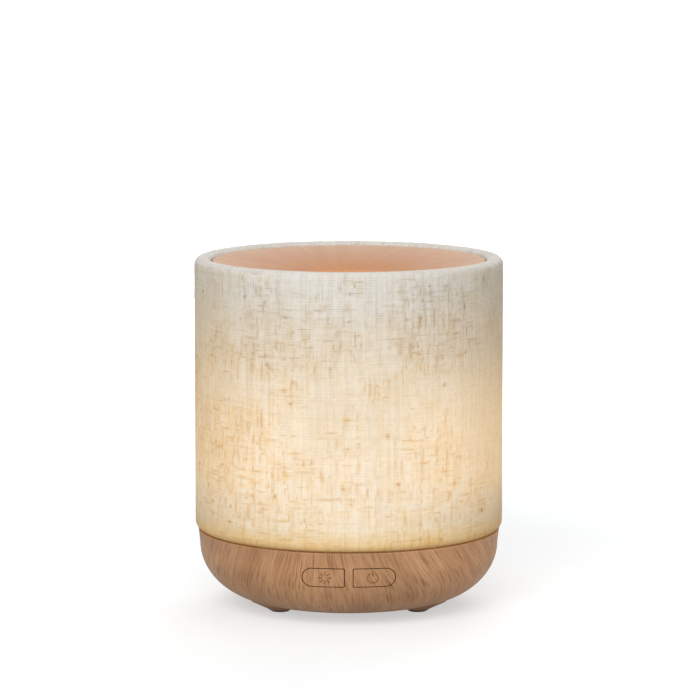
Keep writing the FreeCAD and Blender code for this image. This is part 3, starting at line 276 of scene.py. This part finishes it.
def linen_fields(rows, columns):
    """Where the cloth has slubs, ochre stains, dark specks and lighter threads, in half-thread steps."""
    def field(row_step, column_step, low=None, high=1.0):
        made = patches(rows, columns, row_step, column_step)
        return made if low is None else above(made, low, high)

    region = field(60, 70) * 0.5 + field(24, 26) * 0.5
    busy = above(region, 0.25, 0.75)
    stain = np.maximum(field(24, 10, 0.42), field(34, 4, 0.52)) * 0.8
    stain = np.maximum(stain, field(5, 22, 0.58) * 0.6)
    mottle = field(5, 4) * 0.5 + field(2.5, 2) * 0.5
    stain *= above(mottle, 0.05, 0.75) * (0.35 + 0.65 * busy)
    upright = field(28, 2, 0.68, 0.98) * field(4, 1, 0.25, 0.8)
    upright = np.maximum(upright, field(10, 1.5, 0.74) * 0.9)
    level = field(1.6, 20, 0.72) * field(1, 4, 0.2, 0.8)
    level = np.maximum(level, field(1.6, 8, 0.78))
    slub = np.maximum(upright, level * 0.8) * (0.25 + 0.75 * busy)
    dark_thread = np.maximum(field(90, 1.2, 0.86), field(1.2, 70, 0.86) * 0.5)
    slub = np.maximum(slub, dark_thread * 0.4)
    crowd = 0.06 + 0.94 * above(region, 0.40, 0.72)
    clouds = above(field(12, 9) * 0.6 + region * 0.4, 0.45, 0.85)
    stain = np.maximum(stain * 0.8, clouds * 0.45)
    stain = np.maximum(stain, dashes(crowd, 800, (1.5, 6.0), (1.0, 3.0)))
    stain = np.maximum(stain, dashes(crowd, 650, (0.7, 1.8), (2.0, 8.0)) * 0.9)
    slub = np.maximum(slub * 0.8, dashes(crowd, 750, (0.5, 0.9), (1.5, 7.0)))
    slub = np.maximum(slub, dashes(crowd, 450, (1.5, 6.0), (0.5, 0.9)))
    speck = dashes(crowd, 420, (0.5, 1.8), (0.5, 2.0))
    tone = 0.5 + (field(40, 1.7) - 0.5) * 0.8 + (field(1.7, 30) - 0.5) * 0.45 + (field(2, 2) - 0.5) * 0.7
    return slub, stain, speck, tone


def arc(centre, start, end, radii, steps):
    """Points of a quarter ellipse about centre, angles in degrees, without its first point."""
    angles = np.radians(np.linspace(start, end, steps + 1)[1:])
    return [(centre[0] + radii[0] * math.cos(a), centre[1] + radii[1] * math.sin(a)) for a in angles]


def shade_profile():
    """The outside of the cover from its tucked-under edge, up the side and over the rim, in metres."""
    low_round, rim_round, rim_width, rim_drop = 2.6 * MM, 2.4 * MM, 3.2 * MM, 2.0 * MM
    low = (SHADE_R - low_round, SEAM_Z + low_round)
    rim = (SHADE_R - rim_round, TOP_Z - rim_round)
    inner = (rim[0], TOP_Z - rim_drop)
    points = [(low[0] - 0.5 * MM, SEAM_Z), (low[0], SEAM_Z)]
    points += arc(low, -90, 0, (low_round, low_round), 12)
    points += [(SHADE_R, rim[1])]
    points += arc(rim, 0, 90, (rim_round, rim_round), 12)
    points += arc(inner, 90, 180, (rim_width, rim_drop), 12)
    points += [(inner[0] - rim_width, TOP_Z - 3.0 * MM)]
    return np.array(points)


def resample(points, spacing):
    """The same line with evenly spaced points, and its unit normals, which point to the right of travel."""
    lengths = np.r_[0, np.cumsum(np.linalg.norm(np.diff(points, axis=0), axis=1))]
    count = round(lengths[-1] / spacing) + 1
    at = np.linspace(0, lengths[-1], count)
    line = np.column_stack([np.interp(at, lengths, points[:, i]) for i in (0, 1)])
    tangent = np.gradient(line, axis=0)
    tangent /= np.linalg.norm(tangent, axis=1)[:, None]
    return line, np.column_stack([tangent[:, 1], -tangent[:, 0]])


def mesh_object(name, vertices, faces, smooth=True):
    mesh = bpy.data.meshes.new(name)
    mesh.from_pydata(np.asarray(vertices, float).tolist(), [], faces)
    mesh.update()
    if smooth:
        mesh.shade_smooth()
    made = bpy.data.objects.new(name, mesh)
    bpy.context.scene.collection.objects.link(made)
    return made


def grid_faces(rows, columns, first=0, flip=False):
    """Quads of a grid that closes round its columns."""
    r, c = np.meshgrid(np.arange(rows - 1), np.arange(columns), indexing="ij")
    n = (c + 1) % columns
    a, b = first + r * columns + c, first + r * columns + n
    d, e = a + columns, b + columns
    order = (a, d, e, b) if flip else (a, b, e, d)
    return np.stack([x.ravel() for x in order], axis=1).tolist()


def weave_lift(rows, columns, over_lift, under_lift, hole_lift):
    """Plain weave, in mm: crossings stand up, more where the upright thread is on top, and holes sink."""
    r, c = np.indices((rows, columns))
    over = (r // 2 + c // 2) % 2 == 0
    crossing = (r % 2 == 0) & (c % 2 == 0)
    hole = (r % 2 == 1) & (c % 2 == 1)
    return np.where(crossing, np.where(over, over_lift, under_lift), np.where(hole, hole_lift, -0.01))


def store_fields(thing, fields):
    """Puts the cloth's fields on the vertices, under the names that the linen material reads."""
    for name, field in zip(FIELD_NAMES, fields):
        attribute = thing.data.attributes.new(name, "FLOAT", "POINT")
        attribute.data.foreach_set("value", field.astype(np.float32))


def corner_vertices(mesh):
    corners = np.zeros(len(mesh.loops), int)
    mesh.loops.foreach_get("vertex_index", corners)
    return corners


def store_uv(mesh, pairs):
    uv = mesh.uv_layers.new(name="threads")
    uv.data.foreach_set("uv", pairs.reshape(-1).astype(np.float32))


def wear_linen(thing, cloth):
    """Gives the piece the linen material, and lets it move with the shade."""
    thing.data.materials.append(cloth)
    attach(thing, "shade")


def thread_wander(rows, columns, axis):
    """How far each sample sits off its even place, in half-threads, because threads are uneven and wavy."""
    count = columns if axis == 1 else rows
    knots = np.repeat(rng.random(count // 2 + 1) - 0.5, 2)[:count]
    uneven = (knots + np.roll(knots, -1)) / 2 * 0.7
    steps = (70, 16) if axis == 1 else (16, 70)
    wander = (patches(rows, columns, *steps) - 0.5) * 1.6
    return wander + (uneven[None, :] if axis == 1 else uneven[:, None])


def cover_uv(cover, rows, columns, back_rows):
    """Texture coordinates in threads, around and up the cloth, that run on past the join."""
    around = np.r_[np.tile(np.arange(columns) / 2, rows), np.tile(np.arange(columns) / 2, len(back_rows))]
    up = np.r_[np.repeat(np.arange(rows) / 2, columns), np.repeat(back_rows / 2, columns)]
    corners = corner_vertices(cover.data)
    quads = np.column_stack([around[corners], up[corners]]).reshape(-1, 4, 2)
    joins = np.ptp(quads[:, :, 0], axis=1) > columns / 4
    low = joins[:, None] & (quads[:, :, 0] < columns / 4)
    quads[:, :, 0] += np.where(low, columns / 2, 0)
    store_uv(cover.data, quads)


def ring_points(radius, z, angle):
    return np.stack([radius * np.cos(angle), radius * np.sin(angle), z + 0 * angle], axis=2).reshape(-1, 3)


def linen_cover(cloth):
    """The wrapped linen: every thread crossing is a vertex, and the cloth is thicker at its slubs."""
    columns = 4 * round(2 * math.pi * SHADE_R / THREAD / 2)
    line, normals = resample(shade_profile(), THREAD / 2)
    rows = len(line)
    fields = linen_fields(rows, columns)
    slub = fields[0]
    r, c = np.indices((rows, columns))
    lift = weave_lift(rows, columns, 0.06, 0.02, -0.06)
    lift = (lift + slub * SLUB_LIFT + (patches(rows, columns, 50, 60) - 0.5) * WAVE_LIFT) * MM
    fade = np.clip(np.minimum(r, rows - 1 - r) / EDGE_ROWS, 0, 1)
    lift *= fade
    turn = 2 * math.pi / columns
    angle = math.pi / 2 + turn * (c + thread_wander(rows, columns, 1))
    slip = thread_wander(rows, columns, 0) * fade * THREAD / 2
    straight = (normals[:, 0] > 0.999)[:, None]
    radius = line[:, 0][:, None] + normals[:, 0][:, None] * lift
    z = line[:, 1][:, None] + normals[:, 1][:, None] * lift + slip * straight
    outer = ring_points(radius, z, angle)
    back_rows = np.unique(np.r_[np.arange(0, rows, BACK_STEP), rows - 1])
    back_r = (line[back_rows, 0] - normals[back_rows, 0] * CLOTH_THICK)[:, None]
    back_z = (line[back_rows, 1] - normals[back_rows, 1] * CLOTH_THICK)[:, None]
    inner = ring_points(back_r + 0 * angle[back_rows], back_z, angle[back_rows])
    start = rows * columns
    faces = grid_faces(rows, columns) + grid_faces(len(back_rows), columns, start, flip=True)
    last_outer = start - columns
    last_inner = start + len(inner) - columns
    for i in range(columns):
        j = (i + 1) % columns
        faces.append([i, start + i, start + j, j])
        faces.append([last_outer + i, last_outer + j, last_inner + j, last_inner + i])
    cover = mesh_object("linen_cover", np.vstack([outer, inner]), faces)
    store_fields(cover, [np.r_[field.ravel(), np.zeros(len(inner))] for field in fields])
    cover_uv(cover, rows, columns, back_rows)
    wear_linen(cover, cloth)
    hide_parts("shade_fabric")


def linen_lap(cloth):
    """The free edge of the wrapped cloth: a strip over the join at the back, pressed flatter over the rim."""
    columns = 2 * round(LAP_WIDTH / THREAD) + 1
    line, normals = resample(shade_profile(), THREAD / 2)
    keep = (line[:, 1] > SEAM_Z + 0.4 * MM) & (line[:, 0] > SHADE_R - 4.5 * MM)
    line, normals = line[keep], normals[keep]
    rows = len(line)
    r, c = np.indices((rows, columns))
    weave = weave_lift(rows, columns, 0.06, 0.02, -0.07)
    from_edge = np.minimum(c, columns - 1 - c) / 2
    ends = np.minimum(r, rows - 1 - r) / EDGE_ROWS
    rise = np.sqrt(np.clip(np.minimum(from_edge, ends), 0, 1))
    pressed = 1 - 0.6 * above(line[:, 1], TOP_Z - 8 * MM, TOP_Z - 2 * MM)[:, None]
    top = (rise * (LAP_RISE + weave) * pressed - 0.02) * MM
    angle = math.pi / 2 + (c - columns // 2) * THREAD / 2 / SHADE_R
    layers = []
    for lift in (top, np.minimum(top - 0.04 * MM, -0.12 * MM)):
        radius = line[:, 0][:, None] + normals[:, 0][:, None] * lift
        z = line[:, 1][:, None] + normals[:, 1][:, None] * lift
        layers.append(ring_points(radius, z, angle))
    start = rows * columns
    faces = []
    for i in range(rows - 1):
        for j in range(columns - 1):
            a = i * columns + j
            b, d, e = a + 1, a + columns, a + columns + 1
            faces += [[a, b, e, d], [start + a, start + d, start + e, start + b]]
    rim = list(range(columns))
    rim += [i * columns + columns - 1 for i in range(1, rows)]
    rim += [(rows - 1) * columns + j for j in range(columns - 2, -1, -1)]
    rim += [i * columns for i in range(rows - 2, 0, -1)]
    for a, b in zip(rim, rim[1:] + rim[:1]):
        faces.append([a, start + a, start + b, b])
    lap = mesh_object("linen_lap", np.vstack(layers), faces)
    grain = above(rng.random((rows, columns)), 0.90, 1.0)
    tone = rng.random((1, columns)) * 0.5 + rng.random((rows, 1)) * 0.5
    fields = (grain * 0.5, patches(rows, columns, 24, 8) ** 3, np.zeros_like(grain), tone)
    store_fields(lap, [np.tile(field.ravel(), 2) for field in fields])
    corners = corner_vertices(lap.data) % start
    store_uv(lap.data, np.column_stack([corners % columns / 2, corners // columns / 2]))
    wear_linen(lap, cloth)


# ---- wood-grain finish ----
def wood_colour(t, grain, length, seed, marked=1.0):
    """Printed oak: streaks along length, changing across grain, in metres. marked scales the dark pores."""
    wander = t.noise(t.join(t.times(grain, 60.0), t.times(length, 30.0), seed), 1.0, 2.0)
    across = t.add(grain, t.times(t.math("SUBTRACT", wander, 0.5), 0.0025))
    broad = t.noise(t.join(t.times(across, 130.0), t.times(length, 14.0), seed + 2.0), 1.0, 2.0)
    fine = t.noise(t.join(t.times(across, 850.0), t.times(length, 50.0), seed + 5.0), 1.0, 3.0, 0.65)
    pores = t.noise(t.join(t.times(across, 2500.0), t.times(length, 115.0), seed + 9.0), 1.0, 2.0, 0.5)
    busy = t.noise(t.join(t.times(across, 170.0), t.times(length, 40.0), seed + 12.0), 1.0, 1.0)
    streaks = t.add(t.times(broad, 0.40), t.times(fine, 0.60))
    colour = t.stops(streaks, (0.28, (0.305, 0.147, 0.065)), (0.42, (0.395, 0.204, 0.094)),
                     (0.54, (0.448, 0.243, 0.118)), (0.70, (0.512, 0.292, 0.152)))
    dark = t.times(t.ramp(pores, 0.48, 0.64), t.ramp(busy, 0.34, 0.60, 0.45, 1.0))
    colour = t.tint(colour, t.times(dark, marked), (0.60, 0.51, 0.46))
    relief = t.math("SUBTRACT", fine, t.times(dark, 0.6))
    return colour, relief


def turn_from(t, x, y):
    """The angle round the Z axis, from the direction (0, -1) towards +X."""
    return t.math("ARCTAN2", x, t.math("SUBTRACT", 0.0, y))


def wood_base():
    """The bowl's grain: it leans out to both sides in front, and is upright behind and straight beneath."""
    t = Tree("wood_grain")
    x, y, z = t.split(t.place())
    angle = turn_from(t, x, y)
    reach = t.math("SQRT", t.add(t.times(x, x), t.times(y, y)))
    depth = t.add(t.math("SUBTRACT", z, SEAM_Z), t.times(t.math("SUBTRACT", reach, SHADE_R), 0.9))
    left, middle = t.slide(angle, -1.1, -0.4, -0.62, -0.22), t.slide(angle, -0.4, 0.40, 0.0, 0.80)
    lean = t.add(t.add(left, middle), t.slide(angle, 0.40, 1.1, 0.0, 0.42))
    drop = t.math("SMOOTH_MAX", depth, -20 * MM, 14 * MM)
    grain = t.add(t.times(angle, SHADE_R), t.times(drop, lean))
    marked = t.ramp(depth, -30 * MM, -12 * MM, 0.55, 1.0)
    colour, relief = wood_colour(t, grain, depth, 1.0, marked)
    back_turn = turn_from(t, t.math("SUBTRACT", 0.0, x), t.math("SUBTRACT", 0.0, y))
    back_colour, back_relief = wood_colour(t, t.times(back_turn, SHADE_R), depth, 7.0)
    ragged = t.add(t.math("ABSOLUTE", angle), t.times(t.noise(t.place(), 120.0), 0.5))
    behind = t.ramp(ragged, 2.0, 2.35)
    colour = t.mix(behind, colour, back_colour)
    relief = t.add(t.times(relief, t.math("SUBTRACT", 1.0, behind)), t.times(back_relief, behind))
    under, _ = wood_colour(t, x, y, 4.0)
    _, _, facing = t.split(t.node("NewGeometry", "Normal"))
    down = t.ramp(facing, -0.97, -0.86, 1.0, 0.0)
    colour = t.mix(down, colour, under)
    # Painted shade in grooves and along gaps, from a short ambient occlusion: darker and browner there.
    groove_shade = t.node("AmbientOcclusion", "AO", {"Distance": 0.8 * MM}, samples=12)
    colour = t.tint(colour, t.ramp(groove_shade, 0.45, 0.95, 0.9, 0.0), (0.42, 0.30, 0.22))
    clouds = t.noise(t.place(), 45.0, 3.0)
    colour = t.tint(colour, t.ramp(clouds, 0.35, 0.75), (0.86, 0.84, 0.84))
    # Painted light: the colour is lightened towards the +X side.
    colour = t.scale(colour, t.ramp(x, 18 * MM, 42 * MM, 1.0, 1.22))
    # Painted shade: the colour darkens near the floor, over the feet.
    colour = t.tint(colour, t.ramp(z, 2 * MM, 6 * MM, 1.0, 0.0), (0.80, 0.74, 0.68))
    normal = t.bump(t.add(relief, t.times(t.noise(t.place(), 2600.0, 2.0), 0.3)), 0.05 * MM, 0.35)
    rough = t.ramp(relief, 0.2, 0.8, 0.50, 0.40)
    lit_edge = t.times(t.ramp(facing, 0.6, 0.95), t.ramp(z, SEAM_Z - 1.5 * MM, SEAM_Z - 0.5 * MM))
    return t.finish(t.principled(base_color=colour, roughness=rough, normal=normal, specular_ior_level=0.3,
                                 emission_color=(0.12, 0.055, 0.018), emission_strength=lit_edge))


def wood_dish():
    """The dish's finish: faint streaks out from the spout, and a warm light round it."""
    t = Tree("dish_wood_grain")
    x, y, _ = t.split(t.place())
    angle = turn_from(t, x, y)
    reach = t.math("SQRT", t.add(t.times(x, x), t.times(y, y)))
    swirl = t.add(angle, t.times(reach, 3.0))
    streak = t.noise(t.join(t.times(t.math("SINE", swirl), 5.0), t.times(t.math("COSINE", swirl), 5.0),
                            t.times(reach, 30.0)), 1.6, 4.0, 0.55)
    # Painted warm light round the spout: the colour turns darker and more orange towards it, and the emission
    # below brightens it.
    colour = t.stops(t.slide(reach, 0.0, 0.048), (0.0, (0.40, 0.16, 0.055)), (0.25, (0.43, 0.18, 0.065)),
                     (0.42, (0.44, 0.205, 0.09)), (0.65, (0.46, 0.25, 0.147)), (1.0, (0.51, 0.33, 0.23)))
    colour = t.tint(colour, t.ramp(streak, 0.35, 0.70), (0.94, 0.915, 0.89))
    near = t.ramp(reach, 0.006, 0.024, 1.0, 0.0)
    glow = t.mix(t.ramp(reach, 0.006, 0.016, 1.0, 0.0), (0.16, 0.06, 0.016), (0.26, 0.13, 0.055))
    grit = t.noise(t.place(), 2600.0, 2.0)
    normal = t.bump(t.add(streak, t.times(grit, 0.3)), 0.05 * MM, 0.3)
    return t.finish(t.principled(base_color=colour, roughness=0.6, normal=normal, specular_ior_level=0.05,
                                 emission_color=glow, emission_strength=t.times(near, near)))


# ---- plastics, rubber and metals ----
def moulded(name, colour, rough=0.45, grit=900.0, depth=0.03, vary=0.12):
    """Textured moulded plastic or rubber."""
    t = Tree(name)
    soft = t.noise(t.place(), 40.0, 3.0)
    fine = t.noise(t.place(), grit, 2.0)
    darker = tuple(c * (1 - vary) for c in colour)
    lighter = tuple(min(1.0, c * (1 + vary)) for c in colour)
    base = t.mix(t.ramp(soft, 0.35, 0.65), darker, lighter)
    normal = t.bump(fine, depth * MM, 0.5)
    roughness = t.ramp(t.noise(t.place(), 120.0, 2.0), 0.3, 0.7, rough - 0.06, rough + 0.08)
    return t.finish(t.principled(base_color=base, roughness=roughness, normal=normal))


def milky(name, colour, clear, rough=0.3):
    """Translucent plastic: part of the light goes straight through, the rest is scattered."""
    t = Tree(name)
    soft = t.noise(t.place(), 60.0, 3.0)
    base = t.mix(t.ramp(soft, 0.3, 0.7), tuple(c * 0.93 for c in colour), colour)
    normal = t.bump(t.noise(t.place(), 700.0, 2.0), 0.03 * MM, 0.4)
    solid = t.principled(base_color=base, roughness=rough, normal=normal, specular_ior_level=0.5)
    scatter = t.node("BsdfTranslucent", 0, {"Color": base, "Normal": normal})
    body = blend_shaders(t, 0.35, solid, scatter)
    facing = t.node("LayerWeight", "Facing", {"Blend": 0.35})
    see = t.times(t.math("SUBTRACT", 1.0, facing), clear)
    return t.finish(blend_shaders(t, see, body, t.node("BsdfTransparent", 0, {"Color": (0.97, 0.98, 0.98)})))


def metal(name, colour, rough=0.3, stretch=(1.0, 1.0, 1.0), lines=900.0):
    """Metal with fine lines or grain in its finish."""
    t = Tree(name)
    x, y, z = t.split(t.place())
    marks = t.noise(t.join(t.times(x, stretch[0]), t.times(y, stretch[1]), t.times(z, stretch[2])), lines, 3.0)
    stain = t.noise(t.place(), 150.0, 3.0)
    base = t.mix(t.ramp(stain, 0.35, 0.7), colour, tuple(c * 0.78 for c in colour))
    roughness = t.ramp(marks, 0.3, 0.7, rough - 0.1, rough + 0.1)
    normal = t.bump(marks, 0.02 * MM, 0.4)
    return t.finish(t.principled(base_color=base, metallic=1.0, roughness=roughness, normal=normal))


def board(name, mask, track, pad):
    """Circuit board: solder mask over branching copper tracks, with rows of tinned pads."""
    t = Tree(name)
    place = t.place()
    cells = t.node("TexVoronoi", "Distance", {"Vector": place, "Scale": 260.0}, distance="CHEBYCHEV",
                   feature="F1")
    tracks = t.ramp(t.math("PINGPONG", t.times(cells, 5.0), 0.5), 0.30, 0.36)
    spots = t.node("TexVoronoi", "Distance", {"Vector": place, "Scale": 190.0, "Randomness": 0.35})
    tinned = t.ramp(spots, 0.12, 0.16, 1.0, 0.0)
    base = t.mix(tracks, mask, track)
    base = t.mix(tinned, base, pad)
    normal = t.bump(t.add(t.times(tracks, 0.5), tinned), 0.05 * MM, 0.6)
    rough = t.ramp(tinned, 0.0, 1.0, 0.34, 0.22)
    return t.finish(t.principled(base_color=base, roughness=rough, metallic=tinned, normal=normal))


def windings(name, colour, gap_shade, pitch):
    """Enamelled wire wound in turns."""
    t = Tree(name)
    _, _, z = t.split(t.place())
    turn = t.math("PINGPONG", t.times(z, 1 / pitch), 0.5)
    # Painted shade: the creases between the turns take the darker second colour.
    base = t.mix(t.ramp(turn, 0.36, 0.5), colour, gap_shade)
    normal = t.bump(t.math("SUBTRACT", 0.5, turn), 0.2 * MM, 0.8)
    return t.finish(t.principled(base_color=base, roughness=0.25, normal=normal, coat_weight=0.5))


def lamp():
    t = Tree("lamp_phosphor")
    fine = t.noise(t.place(), 1400.0, 3.0)
    colour = t.mix(t.ramp(fine, 0.35, 0.65), (0.95, 0.72, 0.22), (1.0, 0.85, 0.42))
    return t.finish(t.principled(base_color=colour, roughness=0.25, emission_color=(1.0, 0.74, 0.38),
                                 emission_strength=3.0))


def shell_plastic():
    """The white shell under the linen: it scatters the lamps' light, most of it low down."""
    t = Tree("diffusing_plastic")
    _, _, z = t.split(t.place())
    soft = t.noise(t.place(), 50.0, 3.0)
    base = t.mix(t.ramp(soft, 0.3, 0.7), (0.80, 0.78, 0.73), (0.88, 0.86, 0.82))
    glow = t.ramp(z, SEAM_Z, TOP_Z, 0.35, 0.0)
    normal = t.bump(t.noise(t.place(), 700.0, 2.0), 0.03 * MM, 0.4)
    return t.finish(t.principled(base_color=base, roughness=0.42, normal=normal,
                                 emission_color=(1.0, 0.78, 0.48), emission_strength=glow))


STEEL = (0.60, 0.61, 0.63)
BLACK = (0.022, 0.022, 0.024)

finishes = {
    "steel": metal("steel", STEEL, 0.32),
    "bright_metal": metal("bright_metal", (0.80, 0.79, 0.76), 0.2),
    "silicone": moulded("silicone", (0.80, 0.80, 0.77), 0.5, 600.0),
    "dark_rubber": moulded("dark_rubber", (0.028, 0.026, 0.024), 0.72, 1500.0, 0.05, 0.25),
    "black_plastic": moulded("black_plastic", BLACK, 0.42, 1200.0, 0.03, 0.3),
    "grey_plastic": moulded("grey_plastic", (0.42, 0.43, 0.45), 0.45, 900.0),
    "white_plastic": moulded("white_plastic", (0.74, 0.73, 0.67), 0.4, 900.0, 0.02, 0.05),
    "label": moulded("label", (0.60, 0.60, 0.58), 0.35, 2200.0, 0.01, 0.05),
    "circuit_board": board("circuit_board", (0.012, 0.10, 0.035), (0.03, 0.19, 0.07), (0.70, 0.70, 0.68)),
    "white_board": board("white_board", (0.78, 0.78, 0.75), (0.66, 0.67, 0.64), (0.72, 0.70, 0.60)),
    "lamp_phosphor": lamp(),
    "bronze": metal("bronze", (0.60, 0.36, 0.16), 0.4, lines=2500.0),
    "copper": windings("copper", (0.62, 0.25, 0.10), (0.18, 0.06, 0.02), 0.35 * MM),
    "magnet": moulded("magnet", (0.05, 0.05, 0.055), 0.5, 2200.0, 0.03, 0.2),
    "can_metal": metal("can_metal", (0.70, 0.71, 0.73), 0.28, (1.0, 1.0, 6.0)),
    "wire_jacket": moulded("wire_jacket", (0.42, 0.02, 0.015), 0.35, 800.0),
    "milky_plastic": milky("milky_plastic", (0.92, 0.935, 0.93), 0.28),
    "diffusing_plastic": shell_plastic(),
    "wood_grain_plastic": wood_base(),
}
dish_finish = wood_dish()
special = {
    "top_dish": dish_finish,
    "mist_spout": dish_finish,
    "inductor": windings("inductor_winding", (0.55, 0.22, 0.09), (0.15, 0.05, 0.02), 0.45 * MM),
}


def dress_frame():
    """Gives every CAD node its finish."""
    slots = {part["node"]: part["material_slot"] for part in frame["record"]["subparts"]}
    for name, thing in nodes.items():
        material = special.get(name) or finishes.get(slots[name])
        if material is None:
            continue
        thing.data.materials.clear()
        thing.data.materials.append(material)


# ---- studio ----
def floor_material():
    """A pale floor that glows faintly, less near the object, which paints a soft shadow round it. From below
    it is clear.
    """
    t = Tree("floor")
    x, y, _ = t.split(t.place())
    away = t.math("SQRT", t.add(t.times(x, x), t.times(y, y)))
    grain = t.noise(t.place(), 30.0, 3.0)
    colour = t.mix(t.ramp(grain, 0.3, 0.7), (0.45, 0.46, 0.467), (0.46, 0.47, 0.477))
    seen = t.node("LightPath", "Is Camera Ray")
    # Painted shadow: the floor's glow drops towards the object. Rays other than the camera's see less of the
    # glow.
    glow = t.times(t.ramp(away, 0.12, 0.8, 0.52, 1.0), t.slide(seen, 0.0, 1.0, 0.38, 1.0))
    top = t.principled(base_color=colour, roughness=0.9, specular_ior_level=0.0,
                       emission_color=(1.0, 1.0, 1.0), emission_strength=glow)
    below = t.node("BsdfTransparent", 0, {"Color": (1.0, 1.0, 1.0)})
    return t.finish(blend_shaders(t, t.node("NewGeometry", "Backfacing"), top, below))


def studio_world():
    """White all round: full white to the camera and in reflections, and less as a light."""
    world = bpy.data.worlds.new("studio")
    world.use_nodes = True
    tree = world.node_tree
    light = tree.nodes["Background"]
    light.inputs["Color"].default_value = (1.0, 1.0, 1.0, 1.0)
    path = tree.nodes.new("ShaderNodeLightPath")
    seen = tree.nodes.new("ShaderNodeMath")
    seen.operation = "MAXIMUM"
    strength = tree.nodes.new("ShaderNodeMapRange")
    strength.inputs["To Min"].default_value = WORLD_LIGHT
    tree.links.new(path.outputs["Is Camera Ray"], seen.inputs[0])
    tree.links.new(path.outputs["Is Glossy Ray"], seen.inputs[1])
    tree.links.new(seen.outputs[0], strength.inputs["Value"])
    tree.links.new(strength.outputs[0], light.inputs["Strength"])
    bpy.context.scene.world = world


def soft_light(name, place, size, power):
    light = bpy.data.lights.new(name, "AREA")
    light.size = size
    light.energy = power
    thing = bpy.data.objects.new(name, light)
    thing.location = place
    middle = Vector((0, 0, TOP_Z / 2))
    thing.rotation_euler = (middle - Vector(place)).to_track_quat("-Z", "Y").to_euler()
    bpy.context.scene.collection.objects.link(thing)


def studio():
    bpy.context.scene.view_settings.view_transform = "Standard"
    studio_world()
    reach = 12.0
    corners = [(-reach, -reach, 0), (reach, -reach, 0), (reach, reach, 0), (-reach, reach, 0)]
    floor = mesh_object("floor", corners, [(0, 1, 2, 3)], smooth=False)
    floor.data.materials.append(floor_material())
    soft_light("key", (-0.30, -1.25, 0.85), 1.0, 19.0)
    soft_light("fill", (1.0, -0.8, 0.8), 1.2, 2.4)
    soft_light("back", (0.2, 1.2, 1.0), 1.2, 12.0)


def camera():
    """A long lens a little over a metre away, looking slightly down."""
    lens = bpy.data.cameras.new("camera")
    lens.lens = 189.07
    lens.sensor_width = 36.0
    lens.clip_end = 50.0
    thing = bpy.data.objects.new("camera", lens)
    thing.location = (0.0004, -1.2442, 0.2537)
    thing.rotation_euler = (math.radians(90 - 7.598), 0, 0)
    bpy.context.scene.collection.objects.link(thing)
    bpy.context.scene.camera = thing


dress_frame()
cloth = linen()
linen_cover(cloth)
linen_lap(cloth)
studio()
camera()
